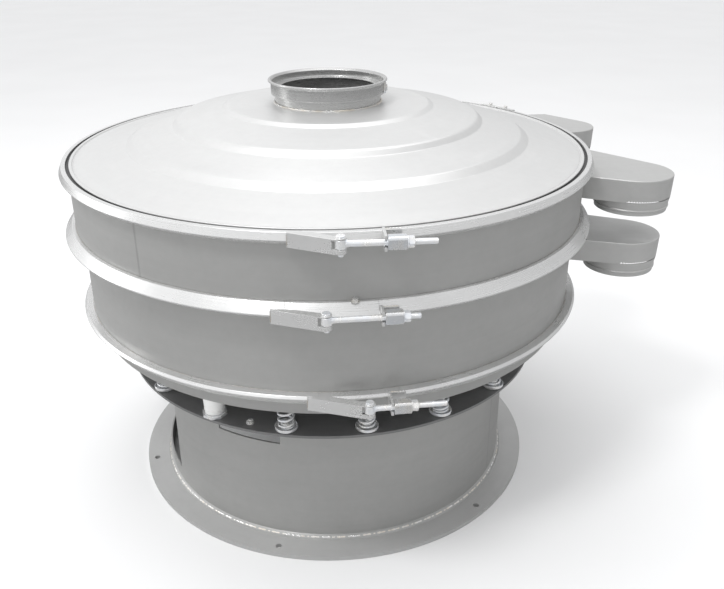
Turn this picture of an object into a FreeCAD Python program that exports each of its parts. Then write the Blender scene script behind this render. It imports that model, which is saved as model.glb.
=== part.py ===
import FreeCAD, Part
import os, math
from FreeCAD import Vector as V

os.makedirs("parts", exist_ok=True)

# ---------------------------------------------------------------------------
# Rotary vibrating sieve, 1200 mm class, two sieve frames, one screen deck.
# Millimetres. +Z up, floor at z = 0, machine axis on Z.
# Azimuth 0 is the latch side (-Y), azimuth +90 is +X (spout side).
# ---------------------------------------------------------------------------

# base
FLANGE_R = 498.2        # floor flange outer radius
FLANGE_RI = 412.0
FLANGE_T = 10.0
FOOT_PCD = 952.0        # floor bolt circle
FOOT_HOLE_R = 7.0       # clearance for M12
FOOT_N = 6
FOOT_PHASE = -16.0
BASE_R = 436.0          # base cylinder outer radius
BASE_T = 4.0
PLATE_Z0 = 321.5        # spring plate underside
PLATE_Z1 = 327.5        # spring plate top
PLATE_R = 498.8
PLATE_RI = 396.0

# springs
N_POS = 18
POS_PHASE = 7.9
SPRING_PCR = 476.0
POST_POS = (-2, 4, 10)  # positions that hold a buffer post
SEAT_R = 24.0
SPRING_R = 15.5         # mean coil radius
WIRE_R = 2.6
SPRING_Z0 = 333.5
SPRING_Z1 = 413.0

# vibrating table
TABLE_R = 556.4
TABLE_Z0 = 420.0
TABLE_T = 6.0
SHEET = 3.0

# frames
LOW_R = 569.3           # lower frame outer radius
UP_R = 581.5            # upper frame outer radius
LID_T = 2.5

# latch rods: pivot x, pivot y, rod direction in plan (deg), rod height
LATCH = {
    "top":    dict(px=15.5, py=-627.0, beta=2.0, z=794.0, aL=-4.9, aR=8.9, end=161.0, s0=77.0),
    "middle": dict(px=-11.0, py=-624.5, beta=4.2, z=653.0, aL=-8.1, aR=7.9, end=164.0, s0=101.0),
    "bottom": dict(px=64.0, py=-617.0, beta=5.2, z=468.0, aL=-2.7, aR=12.2, end=143.0, s0=44.0),
}
ROD_R = 5.5
PIN_R = 5.0
EYE_R = 10.0
EYE_H = 8.0
REAR_AZ = 127.5         # joint of the two ring halves at the back

# motor
MOTOR_R = 100.0
MOTOR_Z0 = 250.0
MOTOR_Z1 = 500.0
SHAFT_R = 20.0
RUN_FIT = 0.05

# inlet
NECK_R = 120.0
COLLAR_R = 128.5
RIM_R = 134.0
RIM_Z = 951.0

Z = V(0, 0, 1)
O = V(0, 0, 0)


def P(r, az, z=0.0):
    a = math.radians(az)
    return V(r * math.sin(a), -r * math.cos(a), z)


def rot(s, az):
    s = s.copy()
    s.rotate(O, Z, az)
    return s


def revolve(pts, a0=0.0, a1=360.0):
    """Closed (r, z) profile turned about Z from azimuth a0 to a1."""
    w = Part.makePolygon([V(0, -r, z) for r, z in pts] + [V(0, -pts[0][0], pts[0][1])])
    f = Part.Face(w)
    if a0:
        f.rotate(O, Z, a0)
    return f.revolve(O, Z, a1 - a0) if a1 - a0 < 360 else f.revolve(O, Z, 360)


def ring(ri, ro, z0, z1):
    return revolve([(ri, z0), (ro, z0), (ro, z1), (ri, z1)])


def cyl(r, z0, z1, x=0.0, y=0.0):
    return Part.makeCylinder(r, z1 - z0, V(x, y, z0))


def sector(ri, ro, z0, z1, a0, a1):
    return revolve([(ri, z0), (ro, z0), (ro, z1), (ri, z1)], a0, a1)


def hexprism(af, h, base, axis=V(0, 0, 1), spin=0.0):
    r = af / math.sqrt(3)
    pts = [V(r * math.cos(math.radians(60 * i + spin)), r * math.sin(math.radians(60 * i + spin)), 0) for i in range(7)]
    s = Part.Face(Part.makePolygon(pts)).extrude(V(0, 0, h))
    pl = FreeCAD.Placement(base, FreeCAD.Rotation(V(0, 0, 1), axis))
    s.Placement = pl
    return s


def group(shapes):
    return Part.makeCompound(shapes)


NODES = []


def out(name, shape):
    """Write one node after checking that it is made of valid closed solids."""
    sol = shape.Solids
    assert sol, name
    for s in sol:
        assert s.isValid(), name + " invalid"
        assert s.Volume > 0.5, (name, s.Volume)
    sh = sol[0] if len(sol) == 1 else Part.makeCompound(sol)
    sh.exportStep("parts/%s.step" % name)
    NODES.append((name, len(sol), sum(s.Volume for s in sol)))


# ---------------------------------------------------------------------------
# base
# ---------------------------------------------------------------------------
flange = ring(FLANGE_RI, FLANGE_R, 0, FLANGE_T)
holes = []
for i in range(FOOT_N):
    p = P(FOOT_PCD / 2, FOOT_PHASE + i * 360.0 / FOOT_N)
    holes.append(cyl(FOOT_HOLE_R, -1, FLANGE_T + 1, p.x, p.y))
flange = flange.cut(Part.makeCompound(holes))
out("base_flange", flange)

wall = revolve([(BASE_R - BASE_T, FLANGE_T), (BASE_R + 9.0, FLANGE_T), (BASE_R + 7.2, FLANGE_T + 3.2),
                (BASE_R + 3.2, FLANGE_T + 7.2), (BASE_R, FLANGE_T + 9.0),
                (BASE_R, PLATE_Z0), (BASE_R - BASE_T, PLATE_Z0)])
# two large access windows and one narrow one under the spring plate
WIN_Z0, WIN_Z1 = 51.0, 292.0
for a0, a1 in ((-120.5, -60.5), (150.0, 210.0)):
    wall = wall.cut(sector(BASE_R - 12, BASE_R + 12, WIN_Z0, WIN_Z1, a0, a1))
wall = wall.cut(sector(BASE_R - 12, BASE_R + 12, 256.0, 288.0, -36.0, -15.8))
out("base_cylinder", wall)

plate = ring(PLATE_RI, PLATE_R, PLATE_Z0, PLATE_Z1)
spring_az = [POS_PHASE + 20.0 * k for k in range(-9, 9) if k not in POST_POS and (k + 18) not in POST_POS]
post_az = [POS_PHASE + 20.0 * k for k in POST_POS]
BOLT_R = 5.0
bh = []
for a in spring_az + post_az:
    p = P(SPRING_PCR, a)
    bh.append(cyl(BOLT_R, PLATE_Z0 - 1, PLATE_Z1 + 1, p.x, p.y))
EARTH = P(475.0, -21.7)
bh.append(cyl(4.0, PLATE_Z0 - 1, PLATE_Z1 + 1, EARTH.x, EARTH.y))
plate = plate.cut(Part.makeCompound(bh))
out("spring_plate", plate)

# lower spring seats: cup with a raised rim and a centre boss
def seat(z0):
    pts = [(BOLT_R, z0), (SEAT_R - 2, z0), (SEAT_R, z0 + 2), (SEAT_R, z0 + 9), (SEAT_R - 2.4, z0 + 9),
           (SEAT_R - 2.4, z0 + 6), (11.5, z0 + 6), (11.5, z0 + 14), (10, z0 + 16), (BOLT_R, z0 + 16)]
    return revolve(pts)


def at(s, a, r=SPRING_PCR, z=0.0):
    s = s.copy()
    p = P(r, a, z)
    s.rotate(O, Z, a)
    s.translate(p)
    return s


def stamp(s, azs, r=SPRING_PCR):
    return group([at(s, a, r) for a in azs])


low_seat = seat(PLATE_Z1)
out("lower_spring_seats", stamp(low_seat, spring_az))

# one hex bolt per spring position, head under the plate, shank up through the seat
bolt = cyl(BOLT_R, PLATE_Z0, PLATE_Z1 + 20.5).fuse(hexprism(17, 6.4, V(0, 0, PLATE_Z0 - 6.4))).removeSplitter()

# coil springs
turns = 5.5
pitch = (SPRING_Z1 - SPRING_Z0 - 2 * WIRE_R) / turns
helix = Part.makeHelix(pitch, pitch * turns, SPRING_R)
circ = Part.Wire(Part.Circle(V(SPRING_R, 0, 0), V(0, 1, 0), WIRE_R).toShape())
pipe = Part.Wire(helix.Edges).makePipeShell([circ], True, True)
spring = Part.Solid(pipe) if not pipe.Solids else pipe.Solids[0]
if spring.Volume < 0:
    spring.reverse()
spring.translate(V(0, 0, SPRING_Z0 + WIRE_R))
out("coil_springs", stamp(spring, spring_az))

# buffer posts: octagonal base, tapered sleeve
oct_r = 25.0 / math.cos(math.radians(22.5))
octo = Part.Face(Part.makePolygon([V(oct_r * math.cos(math.radians(45 * i + 22.5)), oct_r * math.sin(math.radians(45 * i + 22.5)), 0) for i in range(9)])).extrude(V(0, 0, 7))
octo.translate(V(0, 0, PLATE_Z1))
octo = octo.cut(cyl(BOLT_R, PLATE_Z1 - 1, PLATE_Z1 + 9))
out("post_bases", stamp(octo, post_az))
PB = PLATE_Z1 + 7
sleeve = revolve([(BOLT_R, PB), (20.0, PB), (24.0, PB + 54), (21.2, PB + 54), (18.9, PB + 20), (BOLT_R, PB + 20)])
out("buffer_sleeves", stamp(sleeve, post_az))
pbolt = cyl(BOLT_R, PLATE_Z0, PB + 24).fuse(hexprism(17, 6.4, V(0, 0, PLATE_Z0 - 6.4))).removeSplitter()
out("spring_bolts", group([at(bolt, a) for a in spring_az] + [at(pbolt, a) for a in post_az]))

earth = cyl(4.0, PLATE_Z0 - 6, PLATE_Z1 + 8.5).fuse(hexprism(13, 5.3, V(0, 0, PLATE_Z0 - 11.3)))
earth_n = hexprism(13, 5.0, V(0, 0, PLATE_Z1 + 1.6)).cut(cyl(4.0, 0, 500))
earth_w = cyl(9.0, PLATE_Z1, PLATE_Z1 + 1.6).cut(cyl(4.0, 0, 500))
e = [earth.removeSplitter(), earth_n, earth_w]
for s in e:
    s.translate(EARTH)
out("earth_stud", group(e))

# ---------------------------------------------------------------------------
# vibrating table and motor
# ---------------------------------------------------------------------------
R3 = dict(ti=457.5, to=474.0)   # inner faces of the bottom clamp ring
tz = TABLE_Z0 + TABLE_T
table = revolve([(106.0, TABLE_Z0), (TABLE_R, TABLE_Z0), (TABLE_R, R3["ti"]), (576.0, R3["ti"]), (576.0, 461.0),
                 (TABLE_R - SHEET, 461.0), (TABLE_R - SHEET, tz), (106.0, tz)])
MB_PCR = 130.0
mh = []
for i in range(8):
    p = P(MB_PCR, 22.5 + 45 * i)
    mh.append(cyl(6.0, TABLE_Z0 - 1, tz + 1, p.x, p.y))
for a in spring_az + post_az:
    p = P(SPRING_PCR, a)
    mh.append(cyl(BOLT_R, TABLE_Z0 - 1, tz + 1, p.x, p.y))
table = table.cut(Part.makeCompound(mh))
out("vibrating_table", table)

ribs = []
for i in range(8):
    a = 45.0 * i
    pts = [V(-3, -165, tz), V(-3, -440, tz), V(-3, -440, tz + 14), V(-3, -300, tz + 42), V(-3, -165, tz + 42)]
    f = Part.Face(Part.makePolygon(pts + [pts[0]])).extrude(V(6, 0, 0))
    ribs.append(rot(f, a))
rib_ring = ring(158.0, 165.0, tz, tz + 42)
out("table_ribs", group(ribs + [rib_ring]))

# upper spring seats hang from the table underside
up_seat = low_seat.copy()
up_seat.rotate(V(0, 0, (PLATE_Z1 + TABLE_Z0) / 2), V(1, 0, 0), 180)
out("upper_spring_seats", stamp(up_seat, spring_az))
ub = cyl(BOLT_R, TABLE_Z0 - 20.5, tz).fuse(hexprism(17, 6.4, V(0, 0, tz))).removeSplitter()

# rubber buffers, entering the sleeves with play
RB0 = PB + 54 - 12
rub = revolve([(BOLT_R, RB0), (18.0, RB0), (20.0, RB0 + 3), (20.0, RB0 + 17), (22.5, RB0 + 21), (23.5, TABLE_Z0), (BOLT_R, TABLE_Z0)])
rub = rub.fuse(cyl(BOLT_R, RB0, RB0 + 4)).removeSplitter()
out("rubber_buffers", stamp(rub, post_az))
rbolt = cyl(BOLT_R, RB0 + 4, tz).fuse(hexprism(17, 6.4, V(0, 0, tz))).removeSplitter()
out("table_bolts", group([at(ub, a) for a in spring_az] + [at(rbolt, a) for a in post_az]))

# motor: vertical, flange mounted through the table bore
house = ring(90.0, MOTOR_R, MOTOR_Z0, MOTOR_Z1).fuse(ring(99.0, 150.0, TABLE_Z0 - 12, TABLE_Z0))
fins = []
for i in range(30):
    a = 12.0 * i
    if 165 <= a <= 195:
        continue
    f = Part.makeBox(3.0, 14.0, 130.0, V(-1.5, -(MOTOR_R + 12.0), MOTOR_Z0 + 12))
    fins.append(rot(f, a))
house = house.fuse(fins)
fb = []
for i in range(8):
    p = P(MB_PCR, 22.5 + 45 * i)
    fb.append(cyl(6.0, TABLE_Z0 - 14, TABLE_Z0 + 1, p.x, p.y))
house = house.cut(Part.makeCompound(fb)).removeSplitter()
out("motor_housing", house)

cap_lo = revolve([(45, MOTOR_Z0 - 14), (92, MOTOR_Z0 - 14), (100, MOTOR_Z0 - 6), (100, MOTOR_Z0), (45, MOTOR_Z0)])
cap_hi = revolve([(45, MOTOR_Z1), (100, MOTOR_Z1), (100, MOTOR_Z1 + 6), (92, MOTOR_Z1 + 14), (45, MOTOR_Z1 + 14)])
out("motor_end_shields", group([cap_lo, cap_hi]))
out("motor_bearings", group([ring(SHAFT_R + RUN_FIT, 45, MOTOR_Z0 - 12, MOTOR_Z0),
                             ring(SHAFT_R + RUN_FIT, 45, MOTOR_Z1, MOTOR_Z1 + 12)]))
out("stator", ring(61.0, 90.0, MOTOR_Z0 + 45, MOTOR_Z1 - 45))
rotor = cyl(SHAFT_R, 168.0, 566.0).fuse(cyl(60.0, MOTOR_Z0 + 55, MOTOR_Z1 - 55)).removeSplitter()
out("rotor_shaft", rotor)


def weight(z0, az, h=24.0, ro=88.0):
    half = Part.makeCylinder(ro, h, V(0, 0, z0), Z, 170)
    half.rotate(O, Z, az - 90 - 85)
    hub = cyl(34.0, z0, z0 + h)
    w = half.fuse(hub).cut(cyl(SHAFT_R, z0 - 1, z0 + h + 1))
    return w.removeSplitter()


out("upper_weight", weight(524.0, 60.0))
out("lower_weight", weight(186.0, 105.0))
keys = []
for z0, az in ((524.0, 60.0), (186.0, 105.0)):
    s = Part.makeCylinder(4.0, 16.0, P(34.0, az + 180, z0 + 12), P(1, az + 180))
    h = hexprism(13, 5.3, P(50.0, az + 180, z0 + 12), P(1, az + 180))
    keys.append(s.fuse(h).removeSplitter())
out("weight_screws", group(keys))

mb = []
for i in range(8):
    p = P(MB_PCR, 22.5 + 45 * i)
    b = cyl(6.0, TABLE_Z0 - 12, tz + 0.0, p.x, p.y)
    h1 = hexprism(19, 7.5, V(p.x, p.y, tz))
    h2 = hexprism(19, 10, V(p.x, p.y, TABLE_Z0 - 22))
    sh = cyl(6.0, TABLE_Z0 - 24, tz, p.x, p.y)
    mb.append(sh.fuse(h1).fuse(h2).removeSplitter())
out("motor_bolts", group(mb))

# terminal box on the back of the motor, gland facing down
tb = Part.makeBox(90, 46, 70, V(-45, MOTOR_R - 6, MOTOR_Z0 + 55))
tb = tb.cut(house)
tbl = Part.makeBox(96, 6, 76, V(-48, MOTOR_R + 40, MOTOR_Z0 + 52))
tbs = []
for sx in (-40, 40):
    for sz in (60, 120):
        tbs.append(Part.makeCylinder(3.2, 3.0, V(sx, MOTOR_R + 46, MOTOR_Z0 + sz), V(0, 1, 0)))
out("terminal_box", group([tb, tbl] + tbs))
gx, gy, gz = 22.0, MOTOR_R + 18.0, MOTOR_Z0 + 55
gland = hexprism(24, 8, V(gx, gy, gz - 8)).fuse(cyl(9.5, gz - 22, gz - 8, gx, gy)).cut(cyl(5.5, gz - 30, gz - 3, gx, gy)).removeSplitter()
out("cable_gland", gland)

# ---------------------------------------------------------------------------
# spouts: plan outlines, all vertical walls, flat top
# ---------------------------------------------------------------------------

def tangent_points(c, r, p_from, side):
    """Tangent point on the circle (c, r) for a line from p_from; side +1 or -1."""
    d = V(c.x - p_from.x, c.y - p_from.y, 0)
    L = d.Length
    a = math.atan2(d.y, d.x)
    b = math.asin(r / L)
    t = math.sqrt(L * L - r * r)
    ang = a + side * b
    return V(p_from.x + t * math.cos(ang), p_from.y + t * math.sin(ang), 0)


def spout_plan(near, c, r, far):
    """near, far: points from the frame outward; c, r: the round end."""
    tn = tangent_points(c, r, near[-1], -1)
    tf = tangent_points(c, r, far[-1], +1)
    an = math.atan2(tn.y - c.y, tn.x - c.x)
    af = math.atan2(tf.y - c.y, tf.x - c.x)
    if af < an:
        af += 2 * math.pi
    am = (an + af) / 2
    mid = V(c.x + r * math.cos(am), c.y + r * math.sin(am), 0)
    edges = []
    pts = list(near) + [tn]
    for a, b in zip(pts[:-1], pts[1:]):
        edges.append(Part.LineSegment(a, b).toShape())
    edges.append(Part.Arc(tn, mid, tf).toShape())
    pts = [tf] + list(reversed(far))
    for a, b in zip(pts[:-1], pts[1:]):
        edges.append(Part.LineSegment(a, b).toShape())
    edges.append(Part.LineSegment(far[0], near[0]).toShape())
    return Part.Face(Part.Wire(edges))


def spout(plan, c, r, z0, z1, zout, frame_r, t=2.5):
    outer = plan.copy()
    outer.translate(V(0, 0, z0))
    outer = outer.extrude(V(0, 0, z1 - z0))
    inn = plan.makeOffset2D(-t)
    inn.translate(V(0, 0, z0 + t))
    cav = inn.extrude(V(0, 0, z1 - z0 - 2 * t))
    core = cyl(frame_r, z0 - 10, z1 + 10)
    hole = cyl(r - t + 1.0, z0 - 1, z0 + t + 1, c.x, c.y)
    box = outer.cut(cav).cut(core).cut(hole)
    box = max(box.Solids, key=lambda s: s.Volume)
    neck = revolve([(r - t, zout), (r + 2.4, zout), (r + 3.2, zout + 1.5), (r + 3.2, zout + 4.0), (r + 2.4, zout + 5.5), (r, zout + 7.0), (r, z0), (r - t, z0)])
    neck.translate(V(c.x, c.y, 0))
    return box, neck, cav


A_C = V(697.0, -91.0, 0)
A_R = 87.0
planA = spout_plan([P(545, 77.5), V(567.5, -126.0, 0)], A_C, A_R, [V(500, 150, 0), V(557.0, 163.0, 0), V(604.0, 150.0, 0)])
boxA, neckA, cavA = spout(planA, A_C, A_R, 698.0, 750.0, 667.0, UP_R)
B_C = V(689.0, -86.0, 0)
B_R = 86.0
planB = spout_plan([P(540, 76.0), P(569, 76.4)], B_C, B_R, [P(540, 97.0), P(569.5, 97.0)])
boxB, neckB, cavB = spout(planB, B_C, B_R, 550.0, 602.0, 517.0, LOW_R)
C_C = V(641.0, 296.0, 0)
C_R = 75.0
planC = spout_plan([P(545, 110.5), P(583, 110.3)], C_C, C_R, [P(545, 137.0), P(583, 136.5), V(622.0, 438.0, 0)])
boxC, neckC, cavC = spout(planC, C_C, C_R, 712.0, 765.0, 680.0, UP_R)

# ---------------------------------------------------------------------------
# frames
# ---------------------------------------------------------------------------
lower = revolve([(LOW_R - SHEET, 471.0), (585.0, 471.0), (585.0, 474.0), (LOW_R, 474.0), (LOW_R, 644.0), (593.0, 644.0),
                 (593.0, 647.0), (LOW_R - SHEET, 647.0)])
lower = lower.cut(cavB)
out("lower_frame", lower)
PAN_Z = 543.0
pan = revolve([(0, 600.0), (60.0, 599.0), (LOW_R - SHEET, PAN_Z), (LOW_R - SHEET, PAN_Z - 3.2), (60.0, 595.8), (0, 596.8)])
out("discharge_pan", pan)
out("fines_spout", boxB)

upper = revolve([(UP_R - SHEET, 664.0), (588.0, 664.0), (588.0, 667.0), (UP_R, 667.0), (UP_R, 782.0), (589.0, 782.0),
                 (589.0, 785.0), (UP_R - SHEET, 785.0)])
upper = upper.cut(cavA).cut(cavC)
out("upper_frame", upper)
out("overs_spout", boxA)
out("rear_spout", boxC)
out("spout_outlets", group([neckA, neckB, neckC]))

# gaskets
out("table_gasket", revolve([(TABLE_R - SHEET, 461.0), (576.0, 461.0), (578.0, 466.0), (576.0, 471.0), (567.0, 471.0)]))
out("screen_gaskets", group([ring(567.0, 592.0, 647.0, 650.0), ring(579.5, 588.5, 658.0, 664.0)]))
out("lid_gasket", revolve([(579.0, 785.0), (590.0, 785.0), (592.5, 790.0), (590.0, 796.5), (579.0, 796.5)]))

# screen: hoop with spokes, mesh, ball tray below with bouncing balls
hoop = ring(548.0, 590.0, 650.0, 658.0)
sp = []
for i in range(4):
    b = Part.makeBox(8.0, 1110.0, 8.0, V(-4.0, -555.0, 650.0))
    sp.append(rot(b, 45.0 * i))
hoop = hoop.fuse(sp).fuse(ring(70.0, 78.0, 650.0, 658.0)).removeSplitter()
out("screen_hoop", hoop)
out("screen_mesh", cyl(576.0, 658.0, 659.0))
tray = revolve([(0, 628.0), (552.0, 628.0), (552.0, 650.0), (549.0, 650.0), (549.0, 630.0), (0, 630.0)])
th = []
for r, n in ((110, 6), (230, 12), (350, 18), (470, 24)):
    for i in range(n):
        p = P(r, 360.0 * i / n + 7)
        th.append(cyl(15.0, 620, 640, p.x, p.y))
tray = tray.cut(Part.makeCompound(th))
out("ball_tray", tray)
balls = []
for r, n in ((170, 4), (410, 8)):
    for i in range(n):
        p = P(r, 360.0 * i / n + 22.5, 639.0)
        s = Part.makeSphere(9.0)
        s.translate(p)
        balls.append(s)
out("rubber_balls", group(balls))

# ---------------------------------------------------------------------------
# lid and inlet
# ---------------------------------------------------------------------------
top = [(NECK_R - SHEET, 899.5), (228.0, 898.0), (240.0, 891.5), (339.0, 872.5), (351.0, 860.5), (438.0, 838.0),
       (455.0, 825.5), (573.0, 799.4), (575.3, 798.4), (576.6, 801.2), (582.0, 801.6), (583.8, 799.5), (592.0, 799.5)]
bot = [(592.0, 796.5), (571.0, 796.8), (454.3, 822.8), (437.3, 835.3), (350.3, 857.8), (338.3, 869.8), (239.3, 888.8),
       (227.6, 895.4), (NECK_R - SHEET, 896.9)]
out("lid", revolve(top + bot))
neck = ring(NECK_R - SHEET, NECK_R, 899.5, 930.0)
out("inlet_neck", neck)
collar = revolve([(108.0, 930.0), (NECK_R, 930.0), (NECK_R, 919.0), (COLLAR_R - 0.5, 919.0), (COLLAR_R, 920.5), (COLLAR_R, 944.0),
                  (COLLAR_R + 1.5, 946.0), (RIM_R, 946.6), (RIM_R + 0.6, 948.5), (RIM_R - 0.4, RIM_Z), (RIM_R - 4.5, RIM_Z), (125.5, 947.0), (125.5, 933.0), (108.0, 933.0)])
out("inlet_collar", collar)
clip = Part.makeBox(9.0, 5.0, 24.0, V(-4.5, -(COLLAR_R + 4.9), 920.0))
clip = clip.cut(cyl(COLLAR_R, 900, 960))
clip2 = Part.makeBox(4.0, 3.0, 14.0, V(-2.0, -(COLLAR_R + 7.9), 926.0))
out("inlet_clip", rot(clip.fuse(clip2).removeSplitter(), 77.0))

# ---------------------------------------------------------------------------
# clamp rings
# ---------------------------------------------------------------------------
PROF = {
    "top": dict(outer=[(584.6, 802.2), (593.8, 801.4), (600.0, 787.2), (590.5, 779.3), (583.0, 779.3)],
                inner=[(583.0, 782.0), (589.6, 782.0), (596.3, 787.6), (592.4, 799.5), (584.6, 799.5)], apex=600.0),
    "middle": dict(outer=[(582.3, 670.0), (589.5, 670.0), (606.7, 649.3), (594.0, 641.4), (571.0, 641.4)],
                   inner=[(571.0, 644.0), (593.6, 644.0), (602.9, 649.8), (588.4, 667.0), (582.3, 667.0)], apex=606.7),
    "bottom": dict(outer=[(570.2, 476.6), (586.0, 476.6), (591.0, 471.0), (577.0, 455.0), (558.0, 455.0)],
                   inner=[(558.0, 457.5), (576.0, 457.5), (587.4, 470.6), (585.2, 474.0), (570.2, 474.0)], apex=591.0),
}


def offset_profile(pr, d):
    """Outer line of the ring pushed outward by d, closed back along the ring's own outer line."""
    o = pr["outer"]
    pushed = []
    for i in range(len(o)):
        if i == 0 or i == len(o) - 1:
            q = o[i]
            n1 = o[1] if i == 0 else o[-2]
            e = (n1[0] - q[0], n1[1] - q[1])
            L = math.hypot(*e)
            n = (-e[1] / L, e[0] / L)
            if i == len(o) - 1:
                n = (e[1] / L, -e[0] / L)
            pushed.append((q[0] + n[0] * d, q[1] + n[1] * d))
        else:
            a = o[i - 1]
            b = o[i]
            c = o[i + 1]
            e1 = (b[0] - a[0], b[1] - a[1])
            e2 = (c[0] - b[0], c[1] - b[1])
            l1 = math.hypot(*e1)
            l2 = math.hypot(*e2)
            n1 = (-e1[1] / l1, e1[0] / l1)
            n2 = (-e2[1] / l2, e2[0] / l2)
            m = (n1[0] + n2[0], n1[1] + n2[1])
            k = 2.0 / (m[0] ** 2 + m[1] ** 2)
            pushed.append((b[0] + m[0] * d * k, b[1] + m[1] * d * k))
    return pushed + list(reversed(o))


def local(L, s):
    """Place a shape built with the rod along +X from the origin (z = rod height)."""
    s = s.copy()
    s.rotate(O, Z, L["beta"])
    s.translate(V(L["px"], L["py"], L["z"]))
    return s


splices = []
splice_fast = []
saddles = []
pins = []
links = []
link_bolts = []
for name in ("top", "middle", "bottom"):
    pr = PROF[name]
    L = LATCH[name]
    prof = pr["outer"] + pr["inner"]
    left = revolve(prof, -(360 - REAR_AZ) + 0.3, L["aL"])
    right = revolve(prof, L["aR"], REAR_AZ - 0.3)
    # left lug: bent strap from the ring end out to two knuckles, with a top gusset
    zr = L["z"]
    e0 = P(pr["apex"] - 3.0, L["aL"] - 2.2)
    e1 = P(pr["apex"] + 0.6, L["aL"] - 2.2)
    zlo, zhi = zr - 17.0, zr + 10.0
    pv = V(L["px"], L["py"], 0)
    d = V(pv.x - e1.x, pv.y - e1.y, 0)
    d.normalize()
    n = V(d.y, -d.x, 0)                       # outward side
    out_pv = pv + n * EYE_R
    a1 = e1 + n * 1.2
    strap = Part.Face(Part.makePolygon([e0, a1, out_pv, out_pv - n * 4.0, e0])).extrude(V(0, 0, zhi - zlo))
    strap.translate(V(0, 0, zlo))
    gus = Part.Face(Part.makePolygon([P(pr["apex"] - 7, L["aL"] - 0.6), a1, out_pv, pv - n * 8.0 + d * 4.0, P(pr["apex"] - 5, L["aL"] + 3.0), P(pr["apex"] - 7, L["aL"] - 0.6)])).extrude(V(0, 0, 3.0))
    gus.translate(V(0, 0, zhi - 3.0))
    kn_lo = cyl(EYE_R, zlo, zr - EYE_H - 0.5, pv.x, pv.y)
    kn_hi = cyl(EYE_R, zr + EYE_H + 0.5, zhi + 2.0, pv.x, pv.y)
    lug = strap.fuse([gus, kn_lo, kn_hi])
    lug = lug.cut(cyl(EYE_R + 1.5, zr - EYE_H - 0.5, zr + EYE_H + 0.5, pv.x, pv.y))
    lug = lug.cut(cyl(PIN_R, zlo - 5, zhi + 5, pv.x, pv.y))
    # swing room for the rod on the outer side
    room = Part.makeBox(60, 60, 2 * (EYE_H + 0.5), V(0, -60, -(EYE_H + 0.5)))
    lug = lug.cut(local(L, room))
    inside = revolve([(520.0, pr["outer"][0][1])] + pr["outer"] + [(520.0, pr["outer"][-1][1])])
    lug = lug.cut(inside)
    left = left.fuse(lug).removeSplitter()
    assert len(left.Solids) == 1
    out(name + "_clamp_left", left)
    # right lug: slotted ear the swing bolt pulls against, foot welded along the ring end
    x0 = L["s0"]
    mid = V(L["px"] + x0 * math.cos(math.radians(L["beta"])), L["py"] + x0 * math.sin(math.radians(L["beta"])), 0)
    reach = mid.Length - pr["apex"] + 12.0
    ear = Part.makeBox(5.0, reach + 8.0, 28.0, V(x0 - 5.8, -8.0, -14.0))
    rnd = Part.makeCylinder(ROD_R + 1.5, 30.0, V(x0 - 15, 0, 0), V(1, 0, 0))
    slot = Part.makeBox(30.0, 40.0, 2 * (ROD_R + 1.5), V(x0 - 15, -40.0, -(ROD_R + 1.5))).fuse(rnd)
    foot = Part.makeBox(34.0, 5.0, 22.0, V(x0 - 5.8, reach - 12.5, -11.0))
    ear = local(L, ear.cut(slot).fuse(foot).removeSplitter()).cut(inside)
    right = right.fuse(ear).removeSplitter()
    assert len(right.Solids) == 1
    out(name + "_clamp_right", right)
    # pin with head
    pin = cyl(PIN_R, zlo - 6.0, zhi + 2.0, pv.x, pv.y).fuse(cyl(8.0, zhi + 2.0, zhi + 5.0, pv.x, pv.y)).removeSplitter()
    pins.append(pin)
    # swing bolt: eye, rod
    eye = cyl(EYE_R, -EYE_H, EYE_H)
    rod = Part.makeCylinder(ROD_R, L["end"] - 1.0, V(0, 0, 0), V(1, 0, 0)).fuse(Part.makeCone(ROD_R, ROD_R - 1.0, 1.0, V(L["end"] - 1.0, 0, 0), V(1, 0, 0)))
    bolt_ = eye.fuse(rod).cut(cyl(PIN_R + RUN_FIT, -EYE_H - 1, EYE_H + 1)).removeSplitter()
    out(name + "_swing_bolt", local(L, bolt_))
    # trunnion block with washer and nut on the rod
    blk = Part.makeBox(32.0, 23.0, 24.0, V(x0, -11.5, -12.0))
    ed = [e_ for e_ in blk.Edges if abs(e_.Vertexes[0].Point.y - e_.Vertexes[-1].Point.y) < 1e-6 and abs(e_.Vertexes[0].Point.z - e_.Vertexes[-1].Point.z) < 1e-6]
    blk = blk.makeFillet(3.5, ed)
    bore = Part.makeCylinder(ROD_R, 200, V(0, 0, 0), V(1, 0, 0))
    blk = blk.cut(bore)
    wsh = Part.makeCylinder(11.0, 2.5, V(x0 + 32.0, 0, 0), V(1, 0, 0)).cut(bore)
    nut = hexprism(18.0, 10.0, V(x0 + 34.5, 0, 0), V(1, 0, 0), 30).cut(bore)
    out(name + "_latch_block", group([local(L, blk), local(L, wsh), local(L, nut)]))
    # bridge over the gap between the ring halves
    o = pr["outer"]
    i_ = pr["inner"]
    br = [o[0], o[1], o[2], i_[2], i_[3], i_[4]]
    sp_ = revolve(br, L["aL"], L["aR"]).cut(Part.makeCompound([left, right]))
    splices.append(max(sp_.Solids, key=lambda q: q.Volume))
    # rear link over the joint of the halves
    op = offset_profile(pr, 3.0)
    links.append(revolve(op, REAR_AZ - 5.5, REAR_AZ + 5.5))

out("splice_plates", group(splices))
out("latch_pins", group(pins))
out("rear_links", group(links))

# fasteners on the top faces of the middle bridge and the rear links
zf = PROF["middle"]["outer"][0][1]
fast = []
fast.append(at(hexprism(11, 6.0, V(0, 0, zf)), 3.9, 587.0))
for nm in ("top", "middle", "bottom"):
    zt = PROF[nm]["outer"][0][1] + 3.0
    rr = {"top": 589.5, "middle": 588.0, "bottom": 580.0}[nm]
    for da in (-2.6, 2.6):
        fast.append(at(hexprism(10, 5.0, V(0, 0, zt)), REAR_AZ + da, rr))
out("ring_screws", group(fast))

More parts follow.
